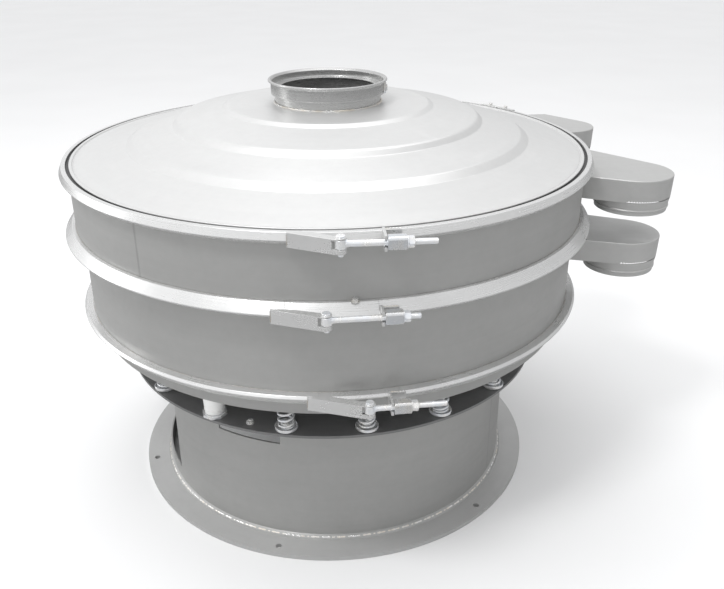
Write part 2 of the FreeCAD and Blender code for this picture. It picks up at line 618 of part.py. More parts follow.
tot = 0.0
for n, k, v in NODES:
    tot += v
    print("%-22s solids %3d  volume %12.1f mm3" % (n, k, v))
print(len(NODES), "nodes")
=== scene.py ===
import bpy
import bmesh
import math
import numpy as np
from mathutils import Vector, Matrix


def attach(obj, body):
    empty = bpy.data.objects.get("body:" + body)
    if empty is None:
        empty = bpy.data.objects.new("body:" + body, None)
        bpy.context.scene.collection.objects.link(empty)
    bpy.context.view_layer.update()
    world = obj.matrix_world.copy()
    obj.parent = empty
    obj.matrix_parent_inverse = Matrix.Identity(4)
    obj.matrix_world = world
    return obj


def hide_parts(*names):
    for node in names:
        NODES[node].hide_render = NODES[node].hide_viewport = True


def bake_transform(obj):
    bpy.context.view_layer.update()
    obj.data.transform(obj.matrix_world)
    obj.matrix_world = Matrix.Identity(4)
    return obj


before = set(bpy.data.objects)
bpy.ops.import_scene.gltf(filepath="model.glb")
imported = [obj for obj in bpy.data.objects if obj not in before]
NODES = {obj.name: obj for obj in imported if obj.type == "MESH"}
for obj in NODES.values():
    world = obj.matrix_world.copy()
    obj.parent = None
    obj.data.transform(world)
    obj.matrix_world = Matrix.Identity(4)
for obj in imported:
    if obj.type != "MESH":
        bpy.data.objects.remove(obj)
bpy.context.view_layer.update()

K = 0.001


# ---------------------------------------------------------------- mesh tools
def P(r, az, z=0.0):
    a = math.radians(az)
    return np.array([r * math.sin(a), -r * math.cos(a), z])


class Geo:
    """Collects faces with their own corner normals, in millimetres."""

    def __init__(self):
        self.v, self.f, self.n, self.m = [], [], [], []
        self.count = 0

    def add(self, verts, faces, cnorm, m=0):
        self.v.append(np.asarray(verts, float).reshape(-1, 3))
        b = self.count
        self.f += [tuple(int(i) + b for i in q) for q in faces]
        self.n.append(np.asarray(cnorm, float).reshape(-1, 3))
        self.m += [m] * len(faces)
        self.count += len(self.v[-1])

    def obj(self, name, mats, body, slot=None, replaces=()):
        me = bpy.data.meshes.new(name)
        v = np.concatenate(self.v) * K
        me.from_pydata(v.tolist(), [], self.f)
        mats = mats if isinstance(mats, (list, tuple)) else [mats]
        for x in mats:
            me.materials.append(x)
        me.polygons.foreach_set("material_index", self.m)
        me.polygons.foreach_set("use_smooth", [True] * len(self.f))
        n = np.concatenate(self.n)
        n /= np.maximum(np.linalg.norm(n, axis=1, keepdims=True), 1e-9)
        me.normals_split_custom_set(n.tolist())
        me.update()
        o = bpy.data.objects.new(name, me)
        bpy.context.scene.collection.objects.link(o)
        if body:
            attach(o, body)
        if replaces:
            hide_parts(*replaces)
        return o


def rounded(pts, default=0.5, fine=12.0):
    """Closed outline of (r, z[, fillet]) with round corners: points and outward normals, anticlockwise."""
    q = [(p[0], p[1], p[2] if len(p) > 2 else default) for p in pts]
    area = sum(q[i][0] * q[(i + 1) % len(q)][1] - q[(i + 1) % len(q)][0] * q[i][1] for i in range(len(q)))
    if area < 0:
        q.reverse()
    pos, nor = [], []
    m = len(q)
    for i in range(m):
        a, p, b = (np.array(q[j % m][:2]) for j in (i - 1, i, i + 1))
        f = q[i][2]
        l1, l2 = np.linalg.norm(p - a), np.linalg.norm(b - p)
        e1, e2 = (p - a) / l1, (b - p) / l2
        turn = math.atan2(e1[0] * e2[1] - e1[1] * e2[0], float(e1 @ e2))
        n1 = np.array([e1[1], -e1[0]])
        n2 = np.array([e2[1], -e2[0]])
        if abs(turn) < 0.015 or f <= 0:
            if abs(turn) < 0.015:
                pos.append(p)
                nor.append(n1 + n2)
            else:
                pos += [p, p]
                nor += [n1, n2]
            continue
        t = f * math.tan(abs(turn) / 2)
        tm = 0.48 * min(l1, l2)
        if t > tm:
            f *= tm / t
            t = tm
        s0 = p - e1 * t
        k = max(2, int(math.ceil(abs(math.degrees(turn)) / fine)))
        sg = 1.0 if turn > 0 else -1.0
        c = s0 - n1 * f * sg
        for j in range(k + 1):
            w = turn * j / k
            n = np.array([n1[0] * math.cos(w) - n1[1] * math.sin(w), n1[0] * math.sin(w) + n1[1] * math.cos(w)])
            pos.append(c + n * f * sg)
            nor.append(n)
    return np.array(pos), np.array(nor)


def grid_quads(rows, cols, wrap_r, wrap_c):
    i = np.arange(rows if wrap_r else rows - 1)
    j = np.arange(cols if wrap_c else cols - 1)
    I, J = np.meshgrid(i, j, indexing="ij")
    I2, J2 = (I + 1) % rows, (J + 1) % cols
    return np.stack([I * cols + J, I * cols + J2, I2 * cols + J2, I2 * cols + J], -1).reshape(-1, 4)


def xform(origin=(0, 0, 0), axis=(0, 0, 1), ref=(1, 0, 0)):
    """4x4 that takes local +Z to axis and local +X near ref."""
    z = np.array(axis, float)
    z /= np.linalg.norm(z)
    x = np.array(ref, float)
    x -= z * (x @ z)
    x /= np.linalg.norm(x)
    y = np.cross(z, x)
    m = np.eye(4)
    m[:3, 0], m[:3, 1], m[:3, 2], m[:3, 3] = x, y, z, origin
    return m


def put(m, v, n):
    if m is None:
        return v, n
    return v @ m[:3, :3].T + m[:3, 3], n @ m[:3, :3].T


def lathe(g, pts, a0=0.0, a1=360.0, n=None, m=0, xf=None, default=0.5, fine=12.0, step=1.25):
    pos, nor = rounded(pts, default, fine)
    full = a1 - a0 >= 359.999
    n = n or max(3, int(math.ceil((a1 - a0) / step)))
    az = np.radians(np.linspace(a0, a1, n + 1))
    if full:
        az = az[:-1]
    s, c = np.sin(az), np.cos(az)
    R, C = len(pos), len(az)
    v = np.empty((R, C, 3))
    w = np.empty((R, C, 3))
    v[..., 0] = pos[:, 0, None] * s
    v[..., 1] = -pos[:, 0, None] * c
    v[..., 2] = pos[:, 1, None]
    w[..., 0] = nor[:, 0, None] * s
    w[..., 1] = -nor[:, 0, None] * c
    w[..., 2] = nor[:, 1, None]
    v, w = v.reshape(-1, 3), w.reshape(-1, 3)
    f = grid_quads(R, C, True, full)
    same = np.linalg.norm(v[f[:, 0]] - v[f[:, 3]], axis=1) + np.linalg.norm(v[f[:, 1]] - v[f[:, 2]], axis=1) > 1e-7
    f = f[same]
    axisr = (np.abs(np.linalg.norm(v[f[:, 0]] - v[f[:, 1]], axis=1)) < 1e-9)
    axisr2 = (np.abs(np.linalg.norm(v[f[:, 2]] - v[f[:, 3]], axis=1)) < 1e-9)
    keep = ~(axisr & axisr2)
    f = f[keep]
    v2, w2 = put(xf, v, w)
    g.add(v2, f, w2[f.reshape(-1)], m)
    if not full:
        for k, rev in ((0, False), (C - 1, True)):
            idx = [i * C + k for i in range(R)]
            cv = v[idx]
            t = np.array([math.cos(az[k]), math.sin(az[k]), 0.0]) * (1 if rev else -1)
            cv2, t2 = put(xf, cv, t[None])
            order = list(range(R))[::-1] if rev else list(range(R))
            g.add(cv2, [order], np.repeat(t2, R, 0), m)


def tube(g, path, rad, sides=12, closed=False, m=0, caps=True):
    """Round tube along points (mm); rad is one number or one per point."""
    p = np.asarray(path, float)
    n = len(p)
    rad = np.full(n, rad, float) if np.isscalar(rad) else np.asarray(rad, float)
    if closed:
        t = np.roll(p, -1, 0) - np.roll(p, 1, 0)
    else:
        t = np.gradient(p, axis=0)
    t /= np.linalg.norm(t, axis=1, keepdims=True)
    u = np.cross(t[0], (0, 0, 1.0))
    if np.linalg.norm(u) < 1e-3:
        u = np.cross(t[0], (1.0, 0, 0))
    u /= np.linalg.norm(u)
    U = []
    for i in range(n):
        u = u - t[i] * (u @ t[i])
        u /= np.linalg.norm(u)
        U.append(u)
    U = np.array(U)
    V = np.cross(t, U)
    a = np.linspace(0, 2 * math.pi, sides, endpoint=False)
    w = U[:, None, :] * np.cos(a)[None, :, None] + V[:, None, :] * np.sin(a)[None, :, None]
    v = p[:, None, :] + w * rad[:, None, None]
    f = grid_quads(n, sides, closed, True)
    g.add(v.reshape(-1, 3), f, w.reshape(-1, 3)[f.reshape(-1)], m)
    if caps and not closed:
        for i, sg in ((0, -1), (n - 1, 1)):
            order = list(range(sides)) if sg > 0 else list(range(sides))[::-1]
            g.add(v[i], [order], np.repeat((t[i] * sg)[None], sides, 0), m)


def corner_normals(bm, angle=38.0):
    """Area-weighted normals per face corner, split where faces meet sharply."""
    lim = math.cos(math.radians(angle))
    bm.verts.ensure_lookup_table()
    fn = {f: (np.array(f.normal), f.calc_area()) for f in bm.faces}
    out = []
    for f in bm.faces:
        nf = fn[f][0]
        for l in f.loops:
            s = np.zeros(3)
            for h in l.vert.link_faces:
                nh, ar = fn[h]
                if float(nh @ nf) > lim:
                    s += nh * ar
            out.append(s)
    return out


def add_bm(g, bm, xf=None, m=0, angle=38.0):
    bm.normal_update()
    bm.verts.index_update()
    cn = np.array(corner_normals(bm, angle))
    v = np.array([x.co for x in bm.verts])
    f = [[x.index for x in q.verts] for q in bm.faces]
    v, cn = put(xf, v, cn)
    g.add(v, f, cn, m)
    bm.free()


def bm_prism(outline, z0, z1):
    bm = bmesh.new()
    lo = [bm.verts.new((x, y, z0)) for x, y in outline]
    hi = [bm.verts.new((x, y, z1)) for x, y in outline]
    area = sum(outline[i][0] * outline[(i + 1) % len(outline)][1] - outline[(i + 1) % len(outline)][0] * outline[i][1] for i in range(len(outline)))
    if area < 0:
        lo.reverse()
        hi.reverse()
    bm.faces.new(lo[::-1])
    bm.faces.new(hi)
    n = len(lo)
    for i in range(n):
        j = (i + 1) % n
        bm.faces.new((lo[i], lo[j], hi[j], hi[i]))
    bm.normal_update()
    return bm


def bevel(bm, w, seg=2, angle=25.0):
    ed = [e for e in bm.edges if len(e.link_faces) == 2 and e.calc_face_angle(0) > math.radians(angle)]
    if ed and w > 0:
        bmesh.ops.bevel(bm, geom=ed, offset=w, offset_type="OFFSET", segments=seg, profile=0.5, affect="EDGES", clamp_overlap=True)
    return bm


def prism(g, outline, z0, z1, bev=0.8, seg=2, xf=None, m=0):
    add_bm(g, bevel(bm_prism(outline, z0, z1), bev, seg), xf, m)


def box(g, lo, hi, bev=0.8, seg=2, xf=None, m=0):
    prism(g, [(lo[0], lo[1]), (hi[0], lo[1]), (hi[0], hi[1]), (lo[0], hi[1])], lo[2], hi[2], bev, seg, xf, m)


def hexpart(g, af, h, xf, bore=0.0, chamfer=(False, True), spin=0.0, m=0, washer=0.0):
    """Hexagon nut or head with conical chamfers, base at local z=0."""
    rc = af / math.sqrt(3)
    ri = af / 2
    per = 6
    ang = np.radians(np.arange(6 * per) * 60.0 / per + spin)
    loc = np.mod(np.degrees(ang) - spin, 60.0)
    rad = ri / np.cos(np.radians(loc - 30.0))
    drop = np.maximum(0.0, (rad - ri * 0.97) * math.tan(math.radians(30)))
    rings = []
    inner = bore if bore > 0 else 0.0
    zt = h - (drop if chamfer[1] else 0 * drop)
    zb = washer + (drop if chamfer[0] else 0 * drop)
    def ring_at(r, z):
        return np.stack([np.cos(ang) * r, np.sin(ang) * r, z * np.ones_like(ang)], -1)
    rt = np.minimum(rad, ri * 0.97)
    bm = bmesh.new()
    def mk(a):
        return [bm.verts.new(tuple(p)) for p in a]
    loops = []
    if bore > 0:
        loops.append(mk(ring_at(bore, 0.0 * ang)))
        loops.append(mk(ring_at(bore + 0.6, -0.0 * ang)))
    if chamfer[0]:
        loops.append(mk(ring_at(rt, 0.0 * ang + washer)))
        loops.append(mk(ring_at(rad, zb)))
    else:
        loops.append(mk(ring_at(rad, 0.0 * ang + washer)))
    loops.append(mk(ring_at(rad, zt)))
    if chamfer[1]:
        loops.append(mk(ring_at(rt, 0.0 * ang + h)))
    if bore > 0:
        loops.append(mk(ring_at(bore + 0.6, 0.0 * ang + h)))
        loops.append(mk(ring_at(bore, 0.0 * ang + h - 0.6)))
    k = len(ang)
    for a, b in zip(loops[:-1], loops[1:]):
        for i in range(k):
            j = (i + 1) % k
            try:
                bm.faces.new((a[i], a[j], b[j], b[i]))
            except ValueError:
                pass
    if bore > 0:
        a, b = loops[-1], loops[0]
        for i in range(k):
            j = (i + 1) % k
            bm.faces.new((a[i], a[j], b[j], b[i]))
    else:
        bm.faces.new(loops[0][::-1])
        bm.faces.new(loops[-1])
    bmesh.ops.remove_doubles(bm, verts=bm.verts, dist=1e-4)
    bmesh.ops.recalc_face_normals(bm, faces=bm.faces)
    add_bm(g, bm, xf, m, angle=20.0)


def shank(g, r, z0, z1, xf, m=0, thread=None, pitch=1.5, sides=20, tip=1.0, head0=False):
    """Round rod along local z; thread=(from, to) cuts a helical thread there."""
    lathe(g, [(0, z0, 0), (r, z0, 0.2), (r, thread[0] if thread else z1, 0.2), (0, thread[0] if thread else z1, 0)], xf=xf, n=sides, m=m)
    if thread:
        t0, t1 = thread
        per = 6
        n = int((t1 - t0) / pitch * per) + 1
        zz = np.linspace(t0, t1, n)
        a = np.linspace(0, 2 * math.pi, sides, endpoint=False)
        Z, A = np.meshgrid(zz, a, indexing="ij")
        ph = np.mod((Z - t0) / pitch - A / (2 * math.pi), 1.0)
        tri = 1.0 - np.abs(ph * 2 - 1.0)
        fade = np.clip(np.minimum((Z - t0) / (pitch * 0.8), (t1 - Z) / tip), 0, 1)
        d = 0.085 * r + 0.15
        R = r - d * (1 - tri) * np.clip((Z - t0) / pitch, 0, 1) - (1 - np.clip((t1 - Z) / tip, 0, 1)) * tip * 0.7
        v = np.stack([R * np.cos(A), R * np.sin(A), Z], -1)
        dz = np.gradient(R, zz, axis=0)
        nn = np.stack([np.cos(A), np.sin(A), -dz], -1)
        nn /= np.linalg.norm(nn, axis=-1, keepdims=True)
        f = grid_quads(n, sides, False, True)
        v, nn = v.reshape(-1, 3), nn.reshape(-1, 3)
        cap = v[-sides:]
        v2, n2 = put(xf, v, nn)
        g.add(v2, f, n2[f.reshape(-1)], m)
        c2, z2 = put(xf, cap, np.array([[0, 0, 1.0]]))
        g.add(c2, [list(range(sides))], np.repeat(z2, sides, 0), m)


def dome(g, r, h, xf, m=0, n=24):
    """Low round head (rivet, pin end), base at local z=0."""
    lathe(g, [(0, 0, 0), (r, 0, 0.1), (r, h * 0.35, min(h * 0.6, r * 0.5)), (r * 0.55, h, r * 0.5), (0, h, 0)], xf=xf, n=n, m=m)


# ---------------------------------------------------------------- materials
class Mat:
    def __init__(self, name):
        self.m = bpy.data.materials.new(name)
        self.m.use_nodes = True
        self.nt = self.m.node_tree
        self.nt.nodes.clear()
        self.out = self.node("ShaderNodeOutputMaterial")
        self.b = self.node("ShaderNodeBsdfPrincipled")
        self.link(self.b.outputs["BSDF"], self.out.inputs["Surface"])
        self.tc = self.node("ShaderNodeTexCoord").outputs["Object"]

    def node(self, t, **kw):
        n = self.nt.nodes.new(t)
        for k, v in kw.items():
            setattr(n, k, v)
        return n

    def link(self, a, b):
        self.nt.links.new(a, b)

    def val(self, sock, x):
        if hasattr(x, "is_output") or isinstance(x, bpy.types.NodeSocket):
            self.link(x, sock)
        else:
            sock.default_value = x

    def math(self, op, a, b=None, c=None, clamp=False):
        n = self.node("ShaderNodeMath", operation=op, use_clamp=clamp)
        self.val(n.inputs[0], a)
        if b is not None:
            self.val(n.inputs[1], b)
        if c is not None:
            self.val(n.inputs[2], c)
        return n.outputs[0]

    def xyz(self, v):
        n = self.node("ShaderNodeSeparateXYZ")
        self.link(v, n.inputs[0])
        return n.outputs[0], n.outputs[1], n.outputs[2]

    def vec(self, x, y, z):
        n = self.node("ShaderNodeCombineXYZ")
        for i, q in enumerate((x, y, z)):
            self.val(n.inputs[i], q)
        return n.outputs[0]

    def noise(self, vec, scale=5.0, detail=3.0, rough=0.5, w=None, distortion=0.0):
        n = self.node("ShaderNodeTexNoise", noise_dimensions="4D" if w is not None else "3D")
        self.link(vec, n.inputs["Vector"])
        if w is not None:
            self.val(n.inputs["W"], w)
        n.inputs["Scale"].default_value = scale
        n.inputs["Detail"].default_value = detail
        n.inputs["Roughness"].default_value = rough
        n.inputs["Distortion"].default_value = distortion
        return n.outputs["Fac"]

    def remap(self, x, a, b, c, d, smooth=False):
        n = self.node("ShaderNodeMapRange", clamp=True)
        if smooth:
            n.interpolation_type = "SMOOTHSTEP"
        self.val(n.inputs["Value"], x)
        for k, q in zip(("From Min", "From Max", "To Min", "To Max"), (a, b, c, d)):
            self.val(n.inputs[k], q)
        return n.outputs[0]

    def mix(self, fac, a, b):
        n = self.node("ShaderNodeMix", data_type="RGBA")
        self.val(n.inputs[0], fac)
        for s, q in ((n.inputs[6], a), (n.inputs[7], b)):
            if isinstance(q, (tuple, list)):
                s.default_value = (*q[:3], 1.0)
            else:
                self.link(q, s)
        return n.outputs[2]

    def scale(self, vec, sx, sy, sz):
        n = self.node("ShaderNodeMapping")
        self.link(vec, n.inputs["Vector"])
        n.inputs["Scale"].default_value = (sx, sy, sz)
        return n.outputs[0]

    def bump(self, h, strength, dist, normal=None):
        n = self.node("ShaderNodeBump")
        n.inputs["Strength"].default_value = strength
        n.inputs["Distance"].default_value = dist
        self.link(h, n.inputs["Height"])
        if normal is not None:
            self.link(normal, n.inputs["Normal"])
        return n.outputs[0]

    def polar(self):
        """cos, sin, radius and height about the machine axis."""
        x, y, z = self.xyz(self.tc)
        r = self.math("SQRT", self.math("ADD", self.math("MULTIPLY", x, x), self.math("MULTIPLY", y, y)))
        rs = self.math("MAXIMUM", r, 0.001)
        return self.math("DIVIDE", x, rs), self.math("DIVIDE", y, rs), r, z, x, y


def steel(name, color, rough, dark=0.86, aniso=0.0, turned=True, grain=1.0, blotch=1.0, rvar=0.07, tangent=True, seams=(), low_band_darkening=None, metal=0.6, ring_gap_shade=None, interior_shade_r=None):
    """Stainless sheet: fine brushing, soft blotches, faint smears. turned = brushed round the machine axis."""
    s = Mat(name)
    b = s.b
    b.inputs["Metallic"].default_value = metal
    if turned:
        c, sn, r, z, x, y = s.polar()
        line = s.noise(s.vec(s.math("MULTIPLY", c, 3.0), s.math("MULTIPLY", sn, 3.0), s.math("MULTIPLY", z, 900.0)), 1.0, 3.0, 0.6, w=s.math("MULTIPLY", r, 900.0))
        coarse = s.noise(s.vec(s.math("MULTIPLY", c, 1.6), s.math("MULTIPLY", sn, 1.6), s.math("MULTIPLY", z, 60.0)), 1.0, 2.0, 0.5, w=s.math("MULTIPLY", r, 60.0))
    else:
        line = s.noise(s.scale(s.tc, 60.0, 900.0, 900.0), 1.0, 3.0, 0.6)
        coarse = s.noise(s.scale(s.tc, 8.0, 60.0, 60.0), 1.0, 2.0, 0.5)
    cloud = s.noise(s.tc, 4.5, 4.0, 0.55, distortion=0.6)
    smear = s.noise(s.scale(s.tc, 3.0, 3.0, 11.0), 3.0, 5.0, 0.65, distortion=1.2)
    spots = s.noise(s.tc, 55.0, 4.0, 0.6)
    rg = s.math("ADD", s.remap(line, 0.3, 0.7, rough - rvar, rough + rvar), s.remap(cloud, 0.35, 0.65, -0.05 * blotch, 0.05 * blotch))
    rg = s.math("ADD", rg, s.remap(smear, 0.55, 0.72, 0.0, 0.07 * blotch))
    s.link(rg, b.inputs["Roughness"])
    f = s.math("ADD", s.math("MULTIPLY", s.remap(cloud, 0.3, 0.7, 0.0, 1.0), 0.5), s.math("MULTIPLY", s.remap(coarse, 0.3, 0.7, 0.0, 1.0), 0.25))
    f = s.math("ADD", f, s.math("MULTIPLY", s.remap(spots, 0.35, 0.7, 0.0, 1.0), 0.25))
    lo = tuple(q * (1 - (1 - dark) * blotch) for q in color)
    hi = tuple(min(1.0, q * 1.05) for q in color)
    col = s.mix(f, hi, lo)
    if seams:
        c2, s2, r2, z2, x2, y2 = s.polar()
        azn = s.math("ARCTAN2", x2, s.math("MULTIPLY", y2, -1.0))
        for az, z0, z1 in seams:
            d = s.math("ABSOLUTE", s.math("SUBTRACT", azn, math.radians(az)))
            wob = s.math("MULTIPLY", s.noise(s.scale(s.tc, 1, 1, 70.0), 1.0, 2.0), 0.004)
            line2 = s.remap(s.math("SUBTRACT", d, wob), 0.0, 0.0045, 1.0, 0.0, smooth=True)
            zone = s.math("MULTIPLY", s.math("GREATER_THAN", z2, z0), s.math("LESS_THAN", z2, z1))
            line2 = s.math("MULTIPLY", line2, zone)
            col = s.mix(s.math("MULTIPLY", line2, 0.55), col, tuple(q * 0.62 for q in color))
    # darker towards the lower end of the given height range, mottled by the smear noise
    if low_band_darkening:
        z0, z1, amt = low_band_darkening
        _, _, zz = s.xyz(s.tc)
        gz = s.remap(zz, z0, z1, 1.0, 0.0, smooth=True)
        gn = s.math("MULTIPLY", gz, s.remap(smear, 0.35, 0.7, 0.25, 1.0))
        col = s.mix(s.math("MULTIPLY", gn, amt), col, tuple(q * 0.55 for q in color))
    # painted shade: a near-black band between two radii, below a given height, standing in for the shadow gap where the
    # lid meets the top ring
    if ring_gap_shade:
        r0, r1, z1, amt = ring_gap_shade
        _, _, r3, z3, _, _ = s.polar()
        gr = s.math("MULTIPLY", s.remap(r3, r0 - 0.0006, r0 + 0.0004, 0.0, 1.0), s.remap(r3, r1 - 0.0004, r1 + 0.0006, 1.0, 0.0))
        gr = s.math("MULTIPLY", gr, s.remap(z3, z1 - 0.0012, z1, 1.0, 0.0))
        col = s.mix(s.math("MULTIPLY", gr, amt), col, (0.012, 0.012, 0.012))
    # painted shade: faces inside the base cylinder, below the given radius, are coloured near black to stand in for the
    # shade inside the enclosed base
    if interior_shade_r:
        _, _, r4, _, _, _ = s.polar()
        ins = s.remap(r4, interior_shade_r - 0.0006, interior_shade_r + 0.0004, 1.0, 0.0)
        col = s.mix(s.math("MULTIPLY", ins, s.remap(cloud, 0.3, 0.7, 0.82, 0.95)), col, tuple(q * 0.06 for q in color))
    s.link(col, b.inputs["Base Color"])
    nrm = s.bump(line, 0.10 * grain, 0.0002)
    nrm = s.bump(cloud, 0.05 * grain, 0.004, nrm)
    s.link(nrm, b.inputs["Normal"])
    if aniso:
        b.inputs["Anisotropic"].default_value = aniso
        if tangent and turned:
            t = s.node("ShaderNodeTangent", direction_type="RADIAL", axis="Z")
            s.link(t.outputs[0], b.inputs["Tangent"])
    return s.m


def zinc(name, color, rough, warm=0.06, rvar=0.08, metal=0.85):
    """Bright plated small parts: slight colour drift, handling marks, tiny pits."""
    s = Mat(name)
    b = s.b
    b.inputs["Metallic"].default_value = metal
    cloud = s.noise(s.tc, 38.0, 3.0, 0.55, distortion=0.5)
    fine = s.noise(s.tc, 700.0, 3.0, 0.6)
    mark = s.noise(s.scale(s.tc, 300.0, 90.0, 500.0), 1.0, 4.0, 0.65)
    blue = (color[0] * 0.95, color[1] * 0.98, min(1.0, color[2] * 1.03))
    yel = (color[0], color[1] * (1 - warm * 0.4), color[2] * (1 - warm))
    col = s.mix(s.remap(cloud, 0.35, 0.65, 0, 1), blue, yel)
    col = s.mix(s.remap(mark, 0.58, 0.75, 0.0, 0.5), col, tuple(q * 0.55 for q in color))
    s.link(col, b.inputs["Base Color"])
    rg = s.math("ADD", s.remap(cloud, 0.3, 0.7, rough - rvar, rough + rvar), s.remap(mark, 0.5, 0.75, 0.0, 0.14))
    s.link(rg, b.inputs["Roughness"])
    s.link(s.bump(fine, 0.08, 0.0002), b.inputs["Normal"])
    return s.m


def soft(name, lo, hi, rough, scale=60.0, bump=0.2, bdist=0.0004, painted_top_light=None, spec=0.5, sheen=0.0, coat=0.0):
    """Rubber or plastic with mottled colour, moulded grain and optional painted top light, which lightens upward faces.
    """
    s = Mat(name)
    b = s.b
    cloud = s.noise(s.tc, scale * 0.4, 4.0, 0.6, distortion=0.4)
    fine = s.noise(s.tc, scale * 12, 3.0, 0.6)
    col = s.mix(s.remap(cloud, 0.32, 0.68, 0, 1), lo, hi)
    # painted light: upward faces lightened toward the given colour, mottled by the cloud noise
    if painted_top_light:
        g = s.node("ShaderNodeNewGeometry")
        _, _, nz = s.xyz(g.outputs["Normal"])
        d = s.math("MULTIPLY", s.remap(nz, 0.35, 1.0, 0, 1), s.remap(cloud, 0.3, 0.7, 0.15, 0.7))
        col = s.mix(d, col, painted_top_light)
    s.link(col, b.inputs["Base Color"])
    s.link(s.remap(fine, 0.3, 0.7, rough - 0.08, rough + 0.08), b.inputs["Roughness"])
    b.inputs["Specular IOR Level"].default_value = spec
    if sheen:
        b.inputs["Sheen Weight"].default_value = sheen
    if coat:
        b.inputs["Coat Weight"].default_value = coat
        b.inputs["Coat Roughness"].default_value = 0.2
    n = s.bump(fine, bump, bdist)
    s.link(s.bump(cloud, bump * 0.6, bdist * 3, n), b.inputs["Normal"])
    return s.m


def cast(name, color, rough=0.5, metallic=0.0, worn=(0.5, 0.5, 0.5)):
    """Painted or machined casting: orange peel, pores, edges worn to bare metal."""
    s = Mat(name)
    b = s.b
    peel = s.noise(s.tc, 260.0, 3.0, 0.55)
    pore = s.node("ShaderNodeTexVoronoi")
    s.link(s.tc, pore.inputs["Vector"])
    pore.inputs["Scale"].default_value = 320.0
    cloud = s.noise(s.tc, 22.0, 5.0, 0.6, distortion=0.4)
    col = s.mix(s.remap(cloud, 0.3, 0.7, 0, 1), tuple(q * 0.86 for q in color), tuple(min(1, q * 1.12) for q in color))
    g = s.node("ShaderNodeNewGeometry")
    wear = s.math("MULTIPLY", s.remap(g.outputs["Pointiness"], 0.52, 0.60, 0.0, 1.0), s.remap(cloud, 0.42, 0.6, 0.0, 1.0))
    col = s.mix(wear, col, worn)
    s.link(col, b.inputs["Base Color"])
    b.inputs["Metallic"].default_value = metallic
    s.link(s.remap(cloud, 0.3, 0.7, rough - 0.1, rough + 0.12), b.inputs["Roughness"])
    n = s.bump(peel, 0.15, 0.0006)
    s.link(s.bump(s.remap(pore.outputs["Distance"], 0.0, 0.25, 0.0, 1.0), 0.12, 0.0004, n), b.inputs["Normal"])
    return s.m


def woven(name):
    """Screen cloth: wires each way at 1.25 mm."""
    s = Mat(name)
    b = s.b
    x, y, z = s.xyz(s.tc)
    k = 2 * math.pi / 0.00125
    wx = s.math("ABSOLUTE", s.math("SINE", s.math("MULTIPLY", x, k / 2)))
    wy = s.math("ABSOLUTE", s.math("SINE", s.math("MULTIPLY", y, k / 2)))
    gx = s.remap(wx, 0.45, 0.75, 0, 1, True)
    gy = s.remap(wy, 0.45, 0.75, 0, 1, True)
    hole = s.math("SUBTRACT", 1.0, s.math("MAXIMUM", gx, gy))
    cloud = s.noise(s.tc, 9.0, 3.0)
    # painted shade: the openings between wires are coloured near black for the shade seen through them
    col = s.mix(hole, s.mix(s.remap(cloud, 0.3, 0.7, 0, 1), (0.50, 0.50, 0.50), (0.62, 0.62, 0.61)), (0.03, 0.03, 0.03))
    s.link(col, b.inputs["Base Color"])
    b.inputs["Metallic"].default_value = 1.0
    s.link(s.remap(hole, 0, 1, 0.35, 0.9), b.inputs["Roughness"])
    s.link(s.bump(s.math("MAXIMUM", gx, gy), 0.6, 0.0004), b.inputs["Normal"])
    return s.m


def weld(name, color):
    """Weld bead: ripples across the run, patches of straw tint."""
    s = Mat(name)
    b = s.b
    b.inputs["Metallic"].default_value = 1.0
    c, sn, r, z, x, y = s.polar()
    azn = s.math("ARCTAN2", x, s.math("MULTIPLY", y, -1.0))
    rip = s.math("SINE", s.math("ADD", s.math("MULTIPLY", azn, 700.0), s.math("MULTIPLY", z, 1500.0)))
    cloud = s.noise(s.tc, 30.0, 3.0)
    col = s.mix(s.remap(cloud, 0.4, 0.62, 0, 1), color, (color[0] * 0.9, color[1] * 0.84, color[2] * 0.76))
    s.link(col, b.inputs["Base Color"])
    s.link(s.remap(cloud, 0.3, 0.7, 0.22, 0.38), b.inputs["Roughness"])
    s.link(s.bump(rip, 0.35, 0.0006), b.inputs["Normal"])
    return s.m


# painted light and shade: the lid, inlet, wall, base, flange and spout materials are one stainless steel; their base
# colours differ (0.42 to 0.66) for how light falls on them, the upward-facing lid lighter and the vertical walls and
# base darker
STEEL_LID = steel("lid_steel", (0.66, 0.66, 0.655), 0.36, dark=0.95, aniso=0.5, rvar=0.03, grain=0.4, metal=0.55, ring_gap_shade=(0.5772, 0.5848, 0.8005, 0.97))
STEEL_NECK = steel("inlet_steel", (0.52, 0.52, 0.515), 0.28, aniso=0.3, metal=0.75, rvar=0.04)
STEEL_WALL = steel("wall_steel", (0.42, 0.42, 0.412), 0.40, dark=0.92, aniso=0.2, rvar=0.04, grain=0.5, metal=0.5, seams=((-38.0, 0.664, 0.785), (152.0, 0.471, 0.647)), low_band_darkening=(0.47, 0.50, 0.15))
STEEL_BASE = steel("base_steel", (0.42, 0.42, 0.412), 0.42, dark=0.92, aniso=0.2, rvar=0.04, grain=0.5, metal=0.45, seams=((60.0, 0.02, 0.32),), low_band_darkening=(0.02, 0.08, 0.15), interior_shade_r=0.4325)
STEEL_FLANGE = steel("flange_steel", (0.50, 0.50, 0.495), 0.42, dark=0.92, rvar=0.04, grain=0.5, metal=0.3)
STEEL_RING = steel("ring_steel_mat", (0.72, 0.72, 0.715), 0.27, dark=0.93, aniso=0.2, rvar=0.03, grain=0.4, metal=0.7)
STEEL_SPOUT = steel("spout_steel", (0.52, 0.52, 0.512), 0.38, dark=0.92, turned=False, rvar=0.04, grain=0.5, metal=0.55)
